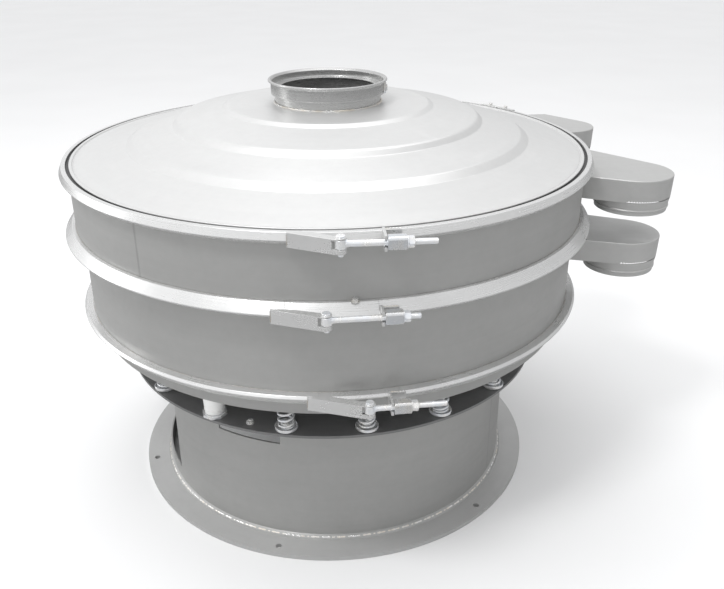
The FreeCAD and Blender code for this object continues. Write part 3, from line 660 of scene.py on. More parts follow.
# painted shade: the spring plate is the same stainless steel, its base colour darkened to 0.20 to stand in for the
# shade and dark reflections under the deck
PLATE_SHADED_STEEL = steel("plate_steel_shaded_mat", (0.20, 0.20, 0.20), 0.42, dark=0.8, metal=0.2)
STEEL_IN = steel("inner_steel", (0.42, 0.42, 0.415), 0.42, metal=0.6)
ZINC = zinc("zinc_plate", (0.78, 0.78, 0.775), 0.24)
ZINC_BRIGHT = zinc("zinc_bright", (0.90, 0.90, 0.895), 0.18, warm=0.03, metal=0.6)
WIRE = zinc("wire_plate", (0.90, 0.90, 0.895), 0.20, warm=0.03, metal=0.55)
NYLON = soft("nylon", (0.80, 0.80, 0.785), (0.88, 0.88, 0.87), 0.45, bump=0.08)
RUBBER = soft("rubber_brown", (0.105, 0.062, 0.058), (0.17, 0.105, 0.10), 0.62, painted_top_light=(0.30, 0.24, 0.23), bump=0.25)
SILICONE = soft("silicone_seal", (0.60, 0.60, 0.58), (0.72, 0.72, 0.70), 0.5, bump=0.1)
BALLS = soft("ball_rubber_mat", (0.72, 0.70, 0.64), (0.82, 0.80, 0.74), 0.55)
PAINT = cast("motor_paint_mat", (0.16, 0.18, 0.19), 0.45, worn=(0.35, 0.35, 0.35))
CORE = cast("core_steel_mat", (0.32, 0.32, 0.33), 0.38, metallic=1.0)
MESH = woven("woven_cloth")
BEAD = weld("weld_bead_mat", (0.74, 0.74, 0.73))
# near-black material made for a dark piece standing in for the shadow gap inside the top ring (painted shade); no part
# uses it
PAINTED_SHADE_BLACK = soft("painted_shade_black", (0.02, 0.02, 0.02), (0.045, 0.045, 0.045), 0.6)


def dress(name, mat):
    o = NODES[name]
    o.data.materials.clear()
    o.data.materials.append(mat)


for n_, m_ in (("base_flange", STEEL_FLANGE), ("base_cylinder", STEEL_BASE), ("spring_plate", PLATE_SHADED_STEEL), ("vibrating_table", STEEL_WALL),
               ("table_ribs", STEEL_IN), ("lower_frame", STEEL_WALL), ("upper_frame", STEEL_WALL), ("discharge_pan", STEEL_IN),
               ("screen_hoop", STEEL_IN), ("ball_tray", STEEL_IN), ("screen_mesh", MESH), ("rubber_balls", BALLS), ("table_gasket", SILICONE),
               ("screen_gaskets", SILICONE), ("lid_gasket", SILICONE), ("motor_housing", PAINT), ("motor_end_shields", PAINT), ("terminal_box", PAINT),
               ("motor_bearings", CORE), ("stator", CORE), ("rotor_shaft", CORE), ("upper_weight", CORE), ("lower_weight", CORE)):
    dress(n_, m_)


# ---------------------------------------------------------------- lid and inlet
g = Geo()
lathe(g, [(117.0, 899.5, 0.3), (228.0, 898.0, 13), (240.0, 891.5, 6), (339.0, 872.5, 15), (351.0, 860.5, 6), (438.0, 838.0, 15), (455.0, 825.5, 6),
          (567.0, 800.6, 3), (569.5, 799.0, 1.5), (571.5, 802.6, 1.6), (577.3, 802.6, 1.6), (578.0, 797.6, 0.8), (592.0, 797.6, 0.4),
          (592.0, 796.5, 0.4), (571.0, 796.5, 2), (454.3, 822.8, 8), (437.3, 835.3, 12), (350.3, 857.8, 8), (338.3, 869.8, 12), (239.3, 888.8, 8),
          (227.6, 895.4, 10), (117.0, 896.9, 0.3)], fine=4.0, step=1.0)
g.obj("lid_sheet", STEEL_LID, "sieve", "stainless", ["lid"])

g = Geo()
lathe(g, [(117.0, 897.5, 0.2), (119.8, 897.5, 0.2), (120.0, 930.0, 0.3), (117.0, 930.0, 0.3)], step=2.0)
a = np.linspace(0, 2 * math.pi, 241)[:-1]
tube(g, np.stack([121.4 * np.sin(a), -121.4 * np.cos(a), 900.2 + 0.25 * np.sin(a * 60)], -1), 2.3 + 0.18 * np.sin(a * 60), sides=10, closed=True, m=1)
g.obj("neck_tube", [STEEL_NECK, BEAD], "sieve", "stainless", ["inlet_neck"])

g = Geo()
lathe(g, [(108.0, 930.0, 0.8), (120.0, 930.0, 0.2), (120.0, 919.0, 0.3), (128.0, 919.0, 0.5), (128.5, 920.5, 0.8), (128.5, 943.6, 2.0),
          (130.4, 946.1, 1.0), (134.0, 946.4, 1.3), (134.6, 948.6, 1.4), (133.4, 951.0, 1.6), (129.6, 951.0, 1.8), (125.5, 946.6, 1.4), (125.5, 933.0, 1.6), (108.0, 933.0, 0.9)], fine=10.0, step=1.5)
g.obj("collar_band", STEEL_NECK, "sieve", "stainless", ["inlet_collar"])

g = Geo()
m77 = xform((0, 0, 0), (0, 0, 1), P(1, 77 + 90))
def local_az(az):
    """local x along increasing azimuth, local y outward-negative as drawn at azimuth 0"""
    a_ = math.radians(az)
    m_ = np.eye(4)
    m_[:3, 0] = (math.cos(a_), math.sin(a_), 0)
    m_[:3, 1] = (-math.sin(a_), math.cos(a_), 0)
    return m_
L77 = local_az(77.0)
box(g, (-4.5, -133.3, 920.2), (4.5, -128.2, 944.0), 0.9, 3, L77)
box(g, (-2.0, -136.3, 926.0), (2.0, -133.0, 940.0), 0.8, 2, L77)
dome(g, 1.6, 0.9, L77 @ xform((0, -133.2, 923.2), (0, -1, 0)), n=14)
g.obj("collar_clip", ZINC, "sieve", "stainless", ["inlet_clip"])

# ---------------------------------------------------------------- spouts

def arc_pts(c, r, a0, a1, n):
    return [(c[0] + r * math.cos(t), c[1] + r * math.sin(t)) for t in np.linspace(a0, a1, n)]


def tangent(c, r, p, side):
    dx, dy = c[0] - p[0], c[1] - p[1]
    L = math.hypot(dx, dy)
    an = math.atan2(dy, dx) + side * math.asin(r / L)
    t = math.sqrt(L * L - r * r)
    return (p[0] + t * math.cos(an), p[1] + t * math.sin(an))


def plan(near, c, r, far, n=40):
    tn = tangent(c, r, near[-1], -1)
    tf = tangent(c, r, far[-1], +1)
    an = math.atan2(tn[1] - c[1], tn[0] - c[0])
    af = math.atan2(tf[1] - c[1], tf[0] - c[0])
    if af < an:
        af += 2 * math.pi
    return list(near) + arc_pts(c, r, an, af, n) + list(reversed(far))


def offset_in(poly, d):
    n = len(poly)
    out = []
    for i in range(n):
        a_, b_, c_ = (np.array(poly[j % n]) for j in (i - 1, i, i + 1))
        e1, e2 = b_ - a_, c_ - b_
        e1 /= np.linalg.norm(e1)
        e2 /= np.linalg.norm(e2)
        n1, n2 = np.array([-e1[1], e1[0]]), np.array([-e2[1], e2[0]])
        mm = n1 + n2
        mm /= max(1e-6, mm @ mm / 2)
        out.append(tuple(b_ + mm * d))
    return out


def as_object(bm, name="tmp"):
    me = bpy.data.meshes.new(name)
    bm.to_mesh(me)
    bm.free()
    o = bpy.data.objects.new(name, me)
    bpy.context.scene.collection.objects.link(o)
    return o


def cylinder_bm(r, z0, z1, cx=0.0, cy=0.0, n=96):
    return bm_prism([(cx + r * math.cos(t), cy + r * math.sin(t)) for t in np.linspace(0, 2 * math.pi, n, endpoint=False)], z0, z1)


def cut(base, *tools):
    for t in tools:
        md = base.modifiers.new("c", "BOOLEAN")
        md.operation = "DIFFERENCE"
        md.solver = "EXACT"
        md.object = t
    dg = bpy.context.evaluated_depsgraph_get()
    bpy.context.view_layer.update()
    me = bpy.data.meshes.new_from_object(base.evaluated_get(bpy.context.evaluated_depsgraph_get()))
    bm = bmesh.new()
    bm.from_mesh(me)
    for o in (base, *tools):
        m_ = o.data
        bpy.data.objects.remove(o)
        bpy.data.meshes.remove(m_)
    bpy.data.meshes.remove(me)
    return bm


def spout(name, node, near, c, r, far, z0, z1, frame_r, t=2.5):
    outline = plan(near, c, r, far)
    bm = bm_prism(outline, z0, z1)
    # round the sheet edges along the top; pull the bottom outline in by 1.6 mm
    n_ = len(outline)
    low = offset_in(outline, 1.6)
    bm.verts.ensure_lookup_table()
    for v_ in bm.verts:
        if abs(v_.co.z - z0) < 1e-6:
            k_ = min(range(n_), key=lambda q_: (outline[q_][0] - v_.co.x) ** 2 + (outline[q_][1] - v_.co.y) ** 2)
            v_.co.x, v_.co.y = low[k_]
    ed = [e for e in bm.edges if abs(e.verts[0].co.z - e.verts[1].co.z) < 1e-6 and e.verts[0].co.z > z0 + 1]
    bmesh.ops.bevel(bm, geom=ed, offset=2.6, offset_type="OFFSET", segments=3, profile=0.5, affect="EDGES", clamp_overlap=True)
    base = as_object(bm)
    cav = as_object(bm_prism(offset_in(outline, t + 1.7), z0 + t, z1 - t))
    core = as_object(cylinder_bm(frame_r, z0 - 20, z1 + 20, n=480))
    hole = as_object(cylinder_bm(r - t + 1.0, z0 - 5, z0 + t + 5, c[0], c[1], 96))
    bm = cut(base, cav, core, hole)
    # drop loose bits left on the far side of the frame
    seen = set()
    best = []
    for f in bm.faces:
        if f in seen:
            continue
        stack, comp = [f], []
        seen.add(f)
        while stack:
            q = stack.pop()
            comp.append(q)
            for e in q.edges:
                for h in e.link_faces:
                    if h not in seen:
                        seen.add(h)
                        stack.append(h)
        if len(comp) > len(best):
            best = comp
    keep = set(best)
    bmesh.ops.delete(bm, geom=[f for f in bm.faces if f not in keep], context="FACES")
    gg = Geo()
    add_bm(gg, bm, angle=33.0)
    # weld bead round the joint with the frame, on top, at both sides and below
    def on_wall(p, q):
        """where the line p-q crosses the frame circle"""
        p, q = np.array(p, float), np.array(q, float)
        d = q - p
        A_, B_, C_ = d @ d, 2 * p @ d, p @ p - (frame_r + 0.6) ** 2
        s_ = (-B_ + math.sqrt(B_ * B_ - 4 * A_ * C_)) / (2 * A_)
        return p + d * s_
    pn = outline[: len(near) + 1]
    pf = [far[0]] + list(far[1:]) + [outline[-len(far) - 1]]
    def cross(line):
        for u, w in zip(line[:-1], line[1:]):
            if math.hypot(*u) < frame_r + 0.6 <= math.hypot(*w):
                return on_wall(u, w)
        return None
    a1, a2 = cross(pn), cross(pf)
    if a1 is not None and a2 is not None:
        t1 = math.atan2(a1[0], -a1[1])
        t2 = math.atan2(a2[0], -a2[1])
        R_ = frame_r + 0.7
        path = []
        for z_, ts in ((z1 + 0.2, np.linspace(t1, t2, 60)), (z0 - 0.2, np.linspace(t2, t1, 60))):
            for t_ in ts:
                path.append((R_ * math.sin(t_), -R_ * math.cos(t_), z_))
            if z_ > z0 + 5:
                for zz in np.linspace(z1 - 3, z0 + 3, 10):
                    path.append((R_ * math.sin(t2), -R_ * math.cos(t2), zz))
            else:
                for zz in np.linspace(z0 + 3, z1 - 3, 10):
                    path.append((R_ * math.sin(t1), -R_ * math.cos(t1), zz))
        tube(gg, path, 1.9, sides=8, closed=True, m=1)
    return gg.obj(name, [STEEL_SPOUT, BEAD], "sieve", "stainless", [node])


def P2(r, az):
    p = P(r, az)
    return (float(p[0]), float(p[1]))


A_C, A_R = (697.0, -91.0), 87.0
B_C, B_R = (689.0, -86.0), 86.0
C_C, C_R = (641.0, 296.0), 75.0
spout("overs_spout_box", "overs_spout", [P2(545, 77.5), (567.5, -126.0)], A_C, A_R, [(500, 150), (557.0, 163.0), (604.0, 150.0)], 698.0, 750.0, 581.5)
spout("fines_spout_box", "fines_spout", [P2(540, 76.0), P2(569, 76.4)], B_C, B_R, [P2(540, 97.0), P2(569.5, 97.0)], 550.0, 602.0, 569.3)
spout("rear_spout_box", "rear_spout", [P2(545, 110.5), P2(583, 110.3)], C_C, C_R, [P2(545, 137.0), P2(583, 136.5), (622.0, 438.0)], 712.0, 765.0, 581.5)

g = Geo()
for c_, r_, z0_, zo_ in ((A_C, A_R, 698.0, 667.0), (B_C, B_R, 550.0, 517.0), (C_C, C_R, 712.0, 680.0)):
    ro_, t_ = r_ - 5.5, 2.5
    lathe(g, [(ro_ - t_, zo_, 0.6), (ro_ - 0.5, zo_, 0.8), (ro_, zo_ + 8.4, 0.8), (ro_ + 2.3, zo_ + 9.6, 1.1), (ro_ + 2.3, zo_ + 12.2, 1.1), (ro_ + 0.2, zo_ + 13.6, 1.0),
              (r_ - 1.6, z0_ + 0.8, 0.4), (r_ - 1.7 - t_, z0_ + 0.8, 0.2), (ro_ - t_, zo_ + 15.0, 2.0)], xf=xform((c_[0], c_[1], 0)), step=2.5, fine=12)
g.obj("outlet_necks", [STEEL_SPOUT, BEAD], "sieve", "stainless", ["spout_outlets"])

# ---------------------------------------------------------------- clamp rings
PROF = {
    "top": dict(outer=[(584.6, 802.2), (593.8, 801.4), (600.0, 787.2), (590.5, 779.3), (583.0, 779.3)],
                inner=[(583.0, 782.0), (589.6, 782.0), (596.3, 787.6), (592.4, 799.5), (584.6, 799.5)], apex=600.0),
    "middle": dict(outer=[(582.3, 670.0), (589.5, 670.0), (606.7, 649.3), (594.0, 641.4), (571.0, 641.4)],
                   inner=[(571.0, 644.0), (593.6, 644.0), (602.9, 649.8), (588.4, 667.0), (582.3, 667.0)], apex=606.7),
    "bottom": dict(outer=[(570.2, 476.6), (586.0, 476.6), (591.0, 471.0), (577.0, 455.0), (558.0, 455.0)],
                   inner=[(558.0, 457.5), (576.0, 457.5), (587.4, 470.6), (585.2, 474.0), (570.2, 474.0)], apex=591.0),
}
LATCH = {
    "top": dict(px=15.5, py=-627.0, beta=2.0, z=794.0, aL=-4.9, aR=8.9, end=161.0, s0=77.0),
    "middle": dict(px=-11.0, py=-624.5, beta=4.2, z=653.0, aL=-8.1, aR=7.9, end=164.0, s0=101.0),
    "bottom": dict(px=64.0, py=-617.0, beta=5.2, z=468.0, aL=-2.7, aR=12.2, end=143.0, s0=44.0),
}
ROD_R, PIN_R, EYE_R, EYE_H, REAR = 5.5, 5.0, 10.0, 8.0, 127.5
FIL = {"top": (0.8, 1.4, 2.0, 1.4, 0.6, 0.6, 1.0, 1.4, 1.0, 0.8), "middle": (0.8, 2.6, 2.6, 1.8, 0.6, 0.6, 1.2, 1.8, 1.8, 0.8), "bottom": (0.8, 1.8, 2.2, 2.0, 0.6, 0.6, 1.2, 1.6, 1.2, 0.8)}


def ring_profile(name, grow=0.0):
    pr = PROF[name]
    pts = pr["outer"] + pr["inner"]
    return [(r, z, f) for (r, z), f in zip(pts, FIL[name])]


def dir2(beta):
    b_ = math.radians(beta)
    return np.array([math.cos(b_), math.sin(b_), 0.0])


pins = Geo()
splices = Geo()
links = Geo()
screws = Geo()
for name in ("top", "middle", "bottom"):
    pr, L = PROF[name], LATCH[name]
    zr = L["z"]
    zlo, zhi = zr - 17.0, zr + 10.0
    pv = np.array([L["px"], L["py"], 0.0])
    e0 = P(pr["apex"] - 3.0, L["aL"] - 2.2)
    e1 = P(pr["apex"] + 0.6, L["aL"] - 2.2)
    d = pv - e1
    d /= np.linalg.norm(d)
    n_out = np.array([d[1], -d[0], 0.0])
    a1 = e1 + n_out * 1.2
    out_pv = pv + n_out * EYE_R
    # left half: ring, bent strap lug, top gusset and two knuckles
    g = Geo()
    lathe(g, ring_profile(name), -(360 - REAR) + 0.3, L["aL"], step=1.0)
    back_off = 12.5
    strap_end = out_pv - d * back_off
    # the strap is full height up to the knuckles, then splits above and below the eye
    o1 = [tuple(e0[:2]), tuple(a1[:2]), tuple(strap_end[:2]), tuple((strap_end - n_out * 4.0)[:2])]
    prism(g, o1, zlo, zhi, 0.9, 2)
    for z0_, z1_ in ((zlo, zr - EYE_H - 0.5), (zr + EYE_H + 0.5, zhi)):
        o2 = [tuple((strap_end - d * 0.5)[:2]), tuple(out_pv[:2]), tuple((out_pv - n_out * 4.0)[:2]), tuple((strap_end - n_out * 4.0 - d * 0.5)[:2])]
        prism(g, o2, z0_, z1_, 0.7, 2)
    gp = [P(pr["apex"] - 5.0, L["aL"] - 0.9), a1 + d * 4, out_pv - d * 6.0 - n_out * 1.0, pv - n_out * 7.0 - d * 3.0, P(pr["apex"] - 3.5, L["aL"] + 2.0)]
    gz = zhi - 3.0
    if name == "top":
        gz = zhi - 3.4
    prism(g, [tuple(q[:2]) for q in gp], gz, gz + 2.8, 0.7, 2)
    kn = [(PIN_R + 0.05, 0, 0.4), (EYE_R - 0.2, 0, 1.1)]
    for z0_, z1_ in ((zlo, zr - EYE_H - 0.5), (zr + EYE_H + 0.5, zhi + 2.0)):
        lathe(g, [(PIN_R + 0.02, z0_, 0.3), (EYE_R - 0.1, z0_, 1.2), (EYE_R - 0.1, z1_, 1.2), (PIN_R + 0.02, z1_, 0.3)], xf=xform((pv[0], pv[1], 0)), n=32, default=0.8)
    # weld run where the strap meets the ring
    wz = np.linspace(zlo + 4, zhi - 4, 14)
    wp = e1 + n_out * 0.2 + d * 1.0
    tube(g, np.stack([np.full_like(wz, wp[0]), np.full_like(wz, wp[1]), wz], -1), 1.5 + 0.2 * np.sin(wz * 2.4), sides=8, m=1)
    g.obj(name + "_ring_left", [STEEL_RING, BEAD], "sieve", "ring_steel", [name + "_clamp_left"])

    # right half: ring, slotted ear and its foot
    g = Geo()
    lathe(g, ring_profile(name), L["aR"], REAR - 0.3, step=1.0)
    u = dir2(L["beta"])
    vperp = np.array([-u[1], u[0], 0.0])
    x0 = L["s0"]
    mid = pv + u * x0
    reach = np.linalg.norm(mid) - pr["apex"] + 12.0
    # local: x out along the rod, y inward, z up
    LM = np.eye(4)
    LM[:3, 0], LM[:3, 1], LM[:3, 3] = u, vperp, (pv[0], pv[1], zr)
    EAR = np.eye(4)       # extrude direction = rod; outline in (y, z)
    EAR[:3, 0], EAR[:3, 1], EAR[:3, 2], EAR[:3, 3] = vperp, (0, 0, 1), np.cross(vperp, (0, 0, 1)), LM[:3, 3]
    sgn = 1.0 if EAR[:3, 2] @ u > 0 else -1.0
    w_ = ROD_R + 1.5
    depth = reach - 7.6
    o3 = [(-8, -14), (depth, -14), (depth, 14), (-8, 14), (-8, w_)] + [(w_ * math.sin(t), w_ * math.cos(t)) for t in np.linspace(0, math.pi, 13)] + [(-8, -w_)]
    lo_, hi_ = (x0 - 5.8) * sgn, (x0 - 0.8) * sgn
    prism(g, o3, min(lo_, hi_), max(lo_, hi_), 0.8, 2, EAR)
    box(g, (x0 - 5.8, reach - 12.5, -11), (x0 + 28.2, reach - 8.2, 11), 1.0, 2, LM)
    for sgz in (-1, 1):
        xs = np.linspace(x0 - 3, x0 + 26, 16)
        tube(g, [tuple(LM[:3, :3] @ np.array([q, reach - 9.5, sgz * 11.2]) + LM[:3, 3]) for q in xs], 1.4 + 0.15 * np.sin(xs * 2.2), sides=8, m=1)
    g.obj(name + "_ring_right", [STEEL_RING, BEAD], "sieve", "ring_steel", [name + "_clamp_right"])

    # hinge pin with a flat head and a domed lower end
    lathe(pins, [(0, zlo - 6.0, 0), (PIN_R - 0.05, zlo - 6.0, 2.6), (PIN_R - 0.05, zhi + 2.0, 0.1), (8.0, zhi + 2.0, 0.4), (8.0, zhi + 5.0, 1.2), (0, zhi + 5.0, 0)],
          xf=xform((pv[0], pv[1], 0)), n=32)

    # swing bolt: eye, rod and cut thread
    g = Geo()
    ROD = xform((pv[0], pv[1], zr), u, (0, 0, 1))
    lathe(g, [(PIN_R + 0.06, -EYE_H + 0.1, 0.4), (EYE_R - 0.05, -EYE_H + 0.1, 1.4), (EYE_R - 0.05, EYE_H - 0.1, 1.4), (PIN_R + 0.06, EYE_H - 0.1, 0.4)],
          xf=xform((pv[0], pv[1], zr)), n=36)
    lathe(g, [(0, EYE_R - 3.2, 0), (ROD_R + 1.8, EYE_R - 3.2, 0.5), (ROD_R + 0.05, EYE_R + 4.0, 2.5), (ROD_R, x0 + 30.0, 0.1), (0, x0 + 30.0, 0)], xf=ROD, n=28)
    shank(g, ROD_R, x0 + 28.0, L["end"], ROD, thread=(x0 + 30.0, L["end"]), pitch=1.75, sides=24, tip=1.6)
    g.obj(name + "_bolt", ZINC_BRIGHT, name + "_latch", "bright_zinc", [name + "_swing_bolt"])

    # trunnion block, washer and nut
    g = Geo()
    BL = xform((pv[0], pv[1], zr), u, (0, 0, 1))
    hh, ww, f_ = 12.0, 11.5, 6.0
    sec = []
    for cx_, cy_, s0_ in ((hh - f_, ww - f_, 0), (-hh + f_, ww - f_, 90), (-hh + f_, -ww + f_, 180), (hh - f_, -ww + f_, 270)):
        for t in np.radians(np.linspace(s0_, s0_ + 90, 8)):
            sec.append((cx_ + f_ * math.cos(t), cy_ + f_ * math.sin(t)))
    prism(g, sec, x0, x0 + 32.0, 1.2, 3, BL)
    lathe(g, [(ROD_R, x0 - 0.0, 0.1), (9.0, x0 - 0.2, 0.3), (9.0, x0 + 0.4, 0.1), (ROD_R, x0 + 0.4, 0.1)], xf=BL, n=28)
    lathe(g, [(ROD_R + 0.2, x0 + 32.0, 0.2), (10.9, x0 + 32.0, 0.5), (10.9, x0 + 34.4, 0.6), (ROD_R + 0.2, x0 + 34.4, 0.2)], xf=BL, n=36, m=1)
    hexpart(g, 18.0, 10.0, BL @ xform((0, 0, x0 + 34.5)), bore=ROD_R + 0.1, chamfer=(True, True), spin=30, m=1)
    g.obj(name + "_block", [ZINC, ZINC_BRIGHT], name + "_latch", "bright_zinc", [name + "_latch_block"])

    # bridge plate over the front gap
    o_, i_ = pr["outer"], pr["inner"]
    br = [(*o_[0], 0.5), (*o_[1], 1.4), (*o_[2], 1.6), (*i_[2], 0.8), (*i_[3], 0.8), (*i_[4], 0.4)]
    lathe(splices, br, L["aL"] + 0.05, L["aR"] - 0.05, step=0.8)

    # rear link and its two screws
    op = []
    oo = pr["outer"]
    for i in range(5):
        q = np.array(oo[i])
        if i in (0, 4):
            nb = np.array(oo[1] if i == 0 else oo[3])
            e = nb - q
            e /= np.linalg.norm(e)
            nn = np.array([-e[1], e[0]]) if i == 0 else np.array([e[1], -e[0]])
            op.append(q + nn * 2.9)
        else:
            e1_, e2_ = q - np.array(oo[i - 1]), np.array(oo[i + 1]) - q
            n1, n2 = np.array([-e1_[1], e1_[0]]) / np.linalg.norm(e1_), np.array([-e2_[1], e2_[0]]) / np.linalg.norm(e2_)
            mm = n1 + n2
            op.append(q + mm * 2.9 * 2.0 / (mm @ mm))
    prof = [(float(q[0]), float(q[1]), 1.4 if 0 < k < 4 else 0.5) for k, q in enumerate(op)] + [(r, z, 0.3) for r, z in reversed(oo)]
    lathe(links, prof, REAR - 5.4, REAR + 5.4, step=0.7)
    zt = oo[0][1] + 2.9
    rr = {"top": 589.5, "middle": 588.0, "bottom": 580.0}[name]
    for da in (-2.6, 2.6):
        q = P(rr, REAR + da, zt)
        hexpart(screws, 10.0, 4.9, xform(tuple(q)), washer=0.0, spin=15)

pins.obj("hinge_pins", ZINC_BRIGHT, "sieve", "bright_zinc", ["latch_pins"])
splices.obj("bridge_plates", STEEL_RING, "sieve", "ring_steel", ["splice_plates"])
links.obj("rear_link_plates", STEEL_RING, "sieve", "ring_steel", ["rear_links"])
q = P(587.0, 3.9, 670.0)
hexpart(screws, 11.0, 6.0, xform(tuple(q)), spin=10)
lathe(screws, [(0.5, 0, 0.1), (9.2, 0, 0.3), (9.2, 1.2, 0.4), (0.5, 1.2, 0.1)], xf=xform(tuple(q)), n=32)
screws.obj("ring_screw_heads", ZINC, "sieve", "bright_zinc", ["ring_screws"])

# ---------------------------------------------------------------- springs, seats and posts
POS = [7.9 + 20.0 * k for k in range(-9, 9)]
POST = [7.9 + 20.0 * k for k in (-2, 4, 10)]
SPR = [a_ for a_ in POS if not any(abs(((a_ - b_ + 180) % 360) - 180) < 0.5 for b_ in POST)]
PZ, TZ = 327.5, 420.0
PCR = 476.0


def helix(cx, cy, az):
    """Cold-wound spring with closed ends."""
    z0, z1, r, w = 333.5 + 2.6, 413.0 - 2.6, 15.5, 2.6
    turns, dead = 6.6, 0.9
    n = int(turns * 26)
    t = np.linspace(0, turns, n)
    lead = np.where(t < dead, 0.30, np.where(t > turns - dead, 0.30, 1.0))
    k = np.ones(9) / 9.0
    lead = np.convolve(np.pad(lead, 4, mode="edge"), k, "valid")
    zz = np.concatenate([[0], np.cumsum((lead[1:] + lead[:-1]) / 2)])
    zz = z0 + (z1 - z0) * zz / zz[-1]
    a_ = t * 2 * math.pi + math.radians(az * 7.0)
    rad = np.full(n, w)
    rad[:3] *= (0.75, 0.9, 0.97)
    rad[-3:] *= (0.97, 0.9, 0.75)
    return np.stack([cx + r * np.cos(a_), cy + r * np.sin(a_), zz], -1), rad


g = Geo()
for az in SPR:
    c_ = P(PCR, az)
    path, rad = helix(c_[0], c_[1], az)
    tube(g, path, rad, sides=12)
springs = g.obj("spring_coils", WIRE, None, "spring_wire", ["coil_springs"])
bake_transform(springs)

# pressed cup seats with a rolled rim and a centring boss
cup = [(5.0, 0, 0.1), (20.5, 0, 1.6), (24.0, 3.0, 1.8), (24.0, 9.0, 1.1), (21.8, 9.0, 1.0), (21.4, 6.2, 1.4), (11.5, 6.0, 1.2), (11.4, 14.0, 1.6), (9.6, 16.0, 1.0), (5.0, 16.0, 0.4)]
lo_g, up_g = Geo(), Geo()
for az in SPR:
    c_ = P(PCR, az)
    lathe(lo_g, cup, xf=xform((c_[0], c_[1], PZ)), n=44, fine=22)
    flip = np.eye(4)
    flip[1, 1] = flip[2, 2] = -1
    lathe(up_g, cup, xf=xform((c_[0], c_[1], TZ)) @ flip, n=44, fine=22)
lo_g.obj("lower_cups", ZINC_BRIGHT, "base", "bright_zinc", ["lower_spring_seats"])
up_g.obj("upper_cups", ZINC_BRIGHT, "sieve", "bright_zinc", ["upper_spring_seats"])

# bolts under the plate and on the table
DOWN = np.eye(4)
DOWN[1, 1] = DOWN[2, 2] = -1
g = Geo()
for az in POS:
    c_ = P(PCR, az)
    top_ = PZ + (31.0 if az in POST else 20.5)
    hexpart(g, 17.0, 6.3, xform((c_[0], c_[1], 321.5)) @ DOWN, spin=az)
    shank(g, 4.95, 321.5, PZ + 8, xform((c_[0], c_[1], 0)), thread=(PZ + 8, top_), pitch=1.5, sides=16)
g.obj("seat_bolts", ZINC, "base", "bright_zinc", ["spring_bolts"])
g = Geo()
for az in POS:
    c_ = P(PCR, az)
    lo_ = 380.5 if az in POST else TZ - 20.5
    hexpart(g, 17.0, 6.3, xform((c_[0], c_[1], 426.0)), spin=az)
    shank(g, 4.95, -426.0, -TZ + 8, xform((c_[0], c_[1], 0)) @ DOWN, thread=(-TZ + 8, -lo_), pitch=1.5, sides=16)
g.obj("deck_bolts", ZINC, "sieve", "bright_zinc", ["table_bolts"])

# buffer posts
g1, g2, g3 = Geo(), Geo(), Geo()
for az in POST:
    c_ = P(PCR, az)
    M_ = xform((c_[0], c_[1], 0)) @ local_az(az)
    orad = 25.0 / math.cos(math.radians(22.5))
    prism(g1, [(orad * math.cos(math.radians(45 * i + 22.5)), orad * math.sin(math.radians(45 * i + 22.5))) for i in range(8)], PZ, PZ + 7.0, 1.2, 2, M_)
    lathe(g2, [(5.0, 334.5, 0.2), (20.2, 334.5, 1.4), (24.0, 386.0, 6), (24.0, 388.5, 1.2), (21.3, 388.5, 0.9), (18.9, 354.5, 1.2), (5.0, 354.5, 0.3)], xf=xform((c_[0], c_[1], 0)), n=48)
    lathe(g2, [(20.6, 341.5, 0.1), (21.6, 342.2, 0.5), (21.7, 344.0, 0.5), (20.8, 344.8, 0.1)], xf=xform((c_[0], c_[1], 0)), n=48)
    lathe(g3, [(5.0, 376.5, 0.5), (18.0, 376.5, 1.5), (19.9, 379.6, 1.0), (19.9, 393.4, 1.2), (22.4, 397.6, 1.8), (23.1, 404.0, 0.8), (22.3, 406.0, 0.8), (23.2, 408.2, 0.8), (23.4, 419.9, 0.6), (5.0, 419.9, 0.3)],
          xf=xform((c_[0], c_[1], 0)), n=44)
g1.obj("octagon_bases", ZINC_BRIGHT, "base", "bright_zinc", ["post_bases"])
g2.obj("white_sleeves", NYLON, "base", "white_nylon", ["buffer_sleeves"])
g3.obj("brown_buffers", RUBBER, "sieve", "brown_rubber", ["rubber_buffers"])

# earth stud: bolt, washer, nut
g = Geo()
e_ = P(475.0, -21.7)
E_ = xform((e_[0], e_[1], 0))
hexpart(g, 13.0, 5.2, xform((e_[0], e_[1], 321.5)) @ DOWN, spin=20)
shank(g, 3.95, 321.5, PZ + 1.6, E_, thread=(PZ + 1.6, PZ + 8.5), pitch=1.25, sides=18, tip=0.8)
lathe(g, [(4.1, PZ, 0.1), (9.0, PZ, 0.3), (9.0, PZ + 1.5, 0.4), (4.1, PZ + 1.5, 0.1)], xf=E_, n=32)
hexpart(g, 13.0, 5.0, xform((e_[0], e_[1], PZ + 1.6)), bore=4.05, chamfer=(True, True), spin=12)
g.obj("earth_bolt", ZINC_BRIGHT, "base", "bright_zinc", ["earth_stud"])

# ---------------------------------------------------------------- welds on base and frames
g = Geo()
a = np.linspace(0, 2 * math.pi, 721)[:-1]
tube(g, np.stack([438.6 * np.sin(a), -438.6 * np.cos(a), np.full_like(a, 12.2)], -1), 4.2 + 0.35 * np.sin(a * 240) + 0.25 * np.sin(a * 91), sides=12, closed=True)
tube(g, np.stack([437.2 * np.sin(a), -437.2 * np.cos(a), np.full_like(a, 320.2)], -1), 1.8 + 0.2 * np.sin(a * 240), sides=8, closed=True)
g.obj("base_weld", BEAD, "base", "stainless")
g = Geo()
for r_, z_ in ((569.6, 475.0), (569.6, 643.2), (581.8, 668.0), (581.8, 781.2)):
    a = np.linspace(0, 2 * math.pi, 481)[:-1]
    tube(g, np.stack([r_ * np.sin(a), -r_ * np.cos(a), np.full_like(a, z_)], -1), 1.3 + 0.12 * np.sin(a * 160), sides=8, closed=True)
g.obj("frame_welds", BEAD, "sieve", "stainless")

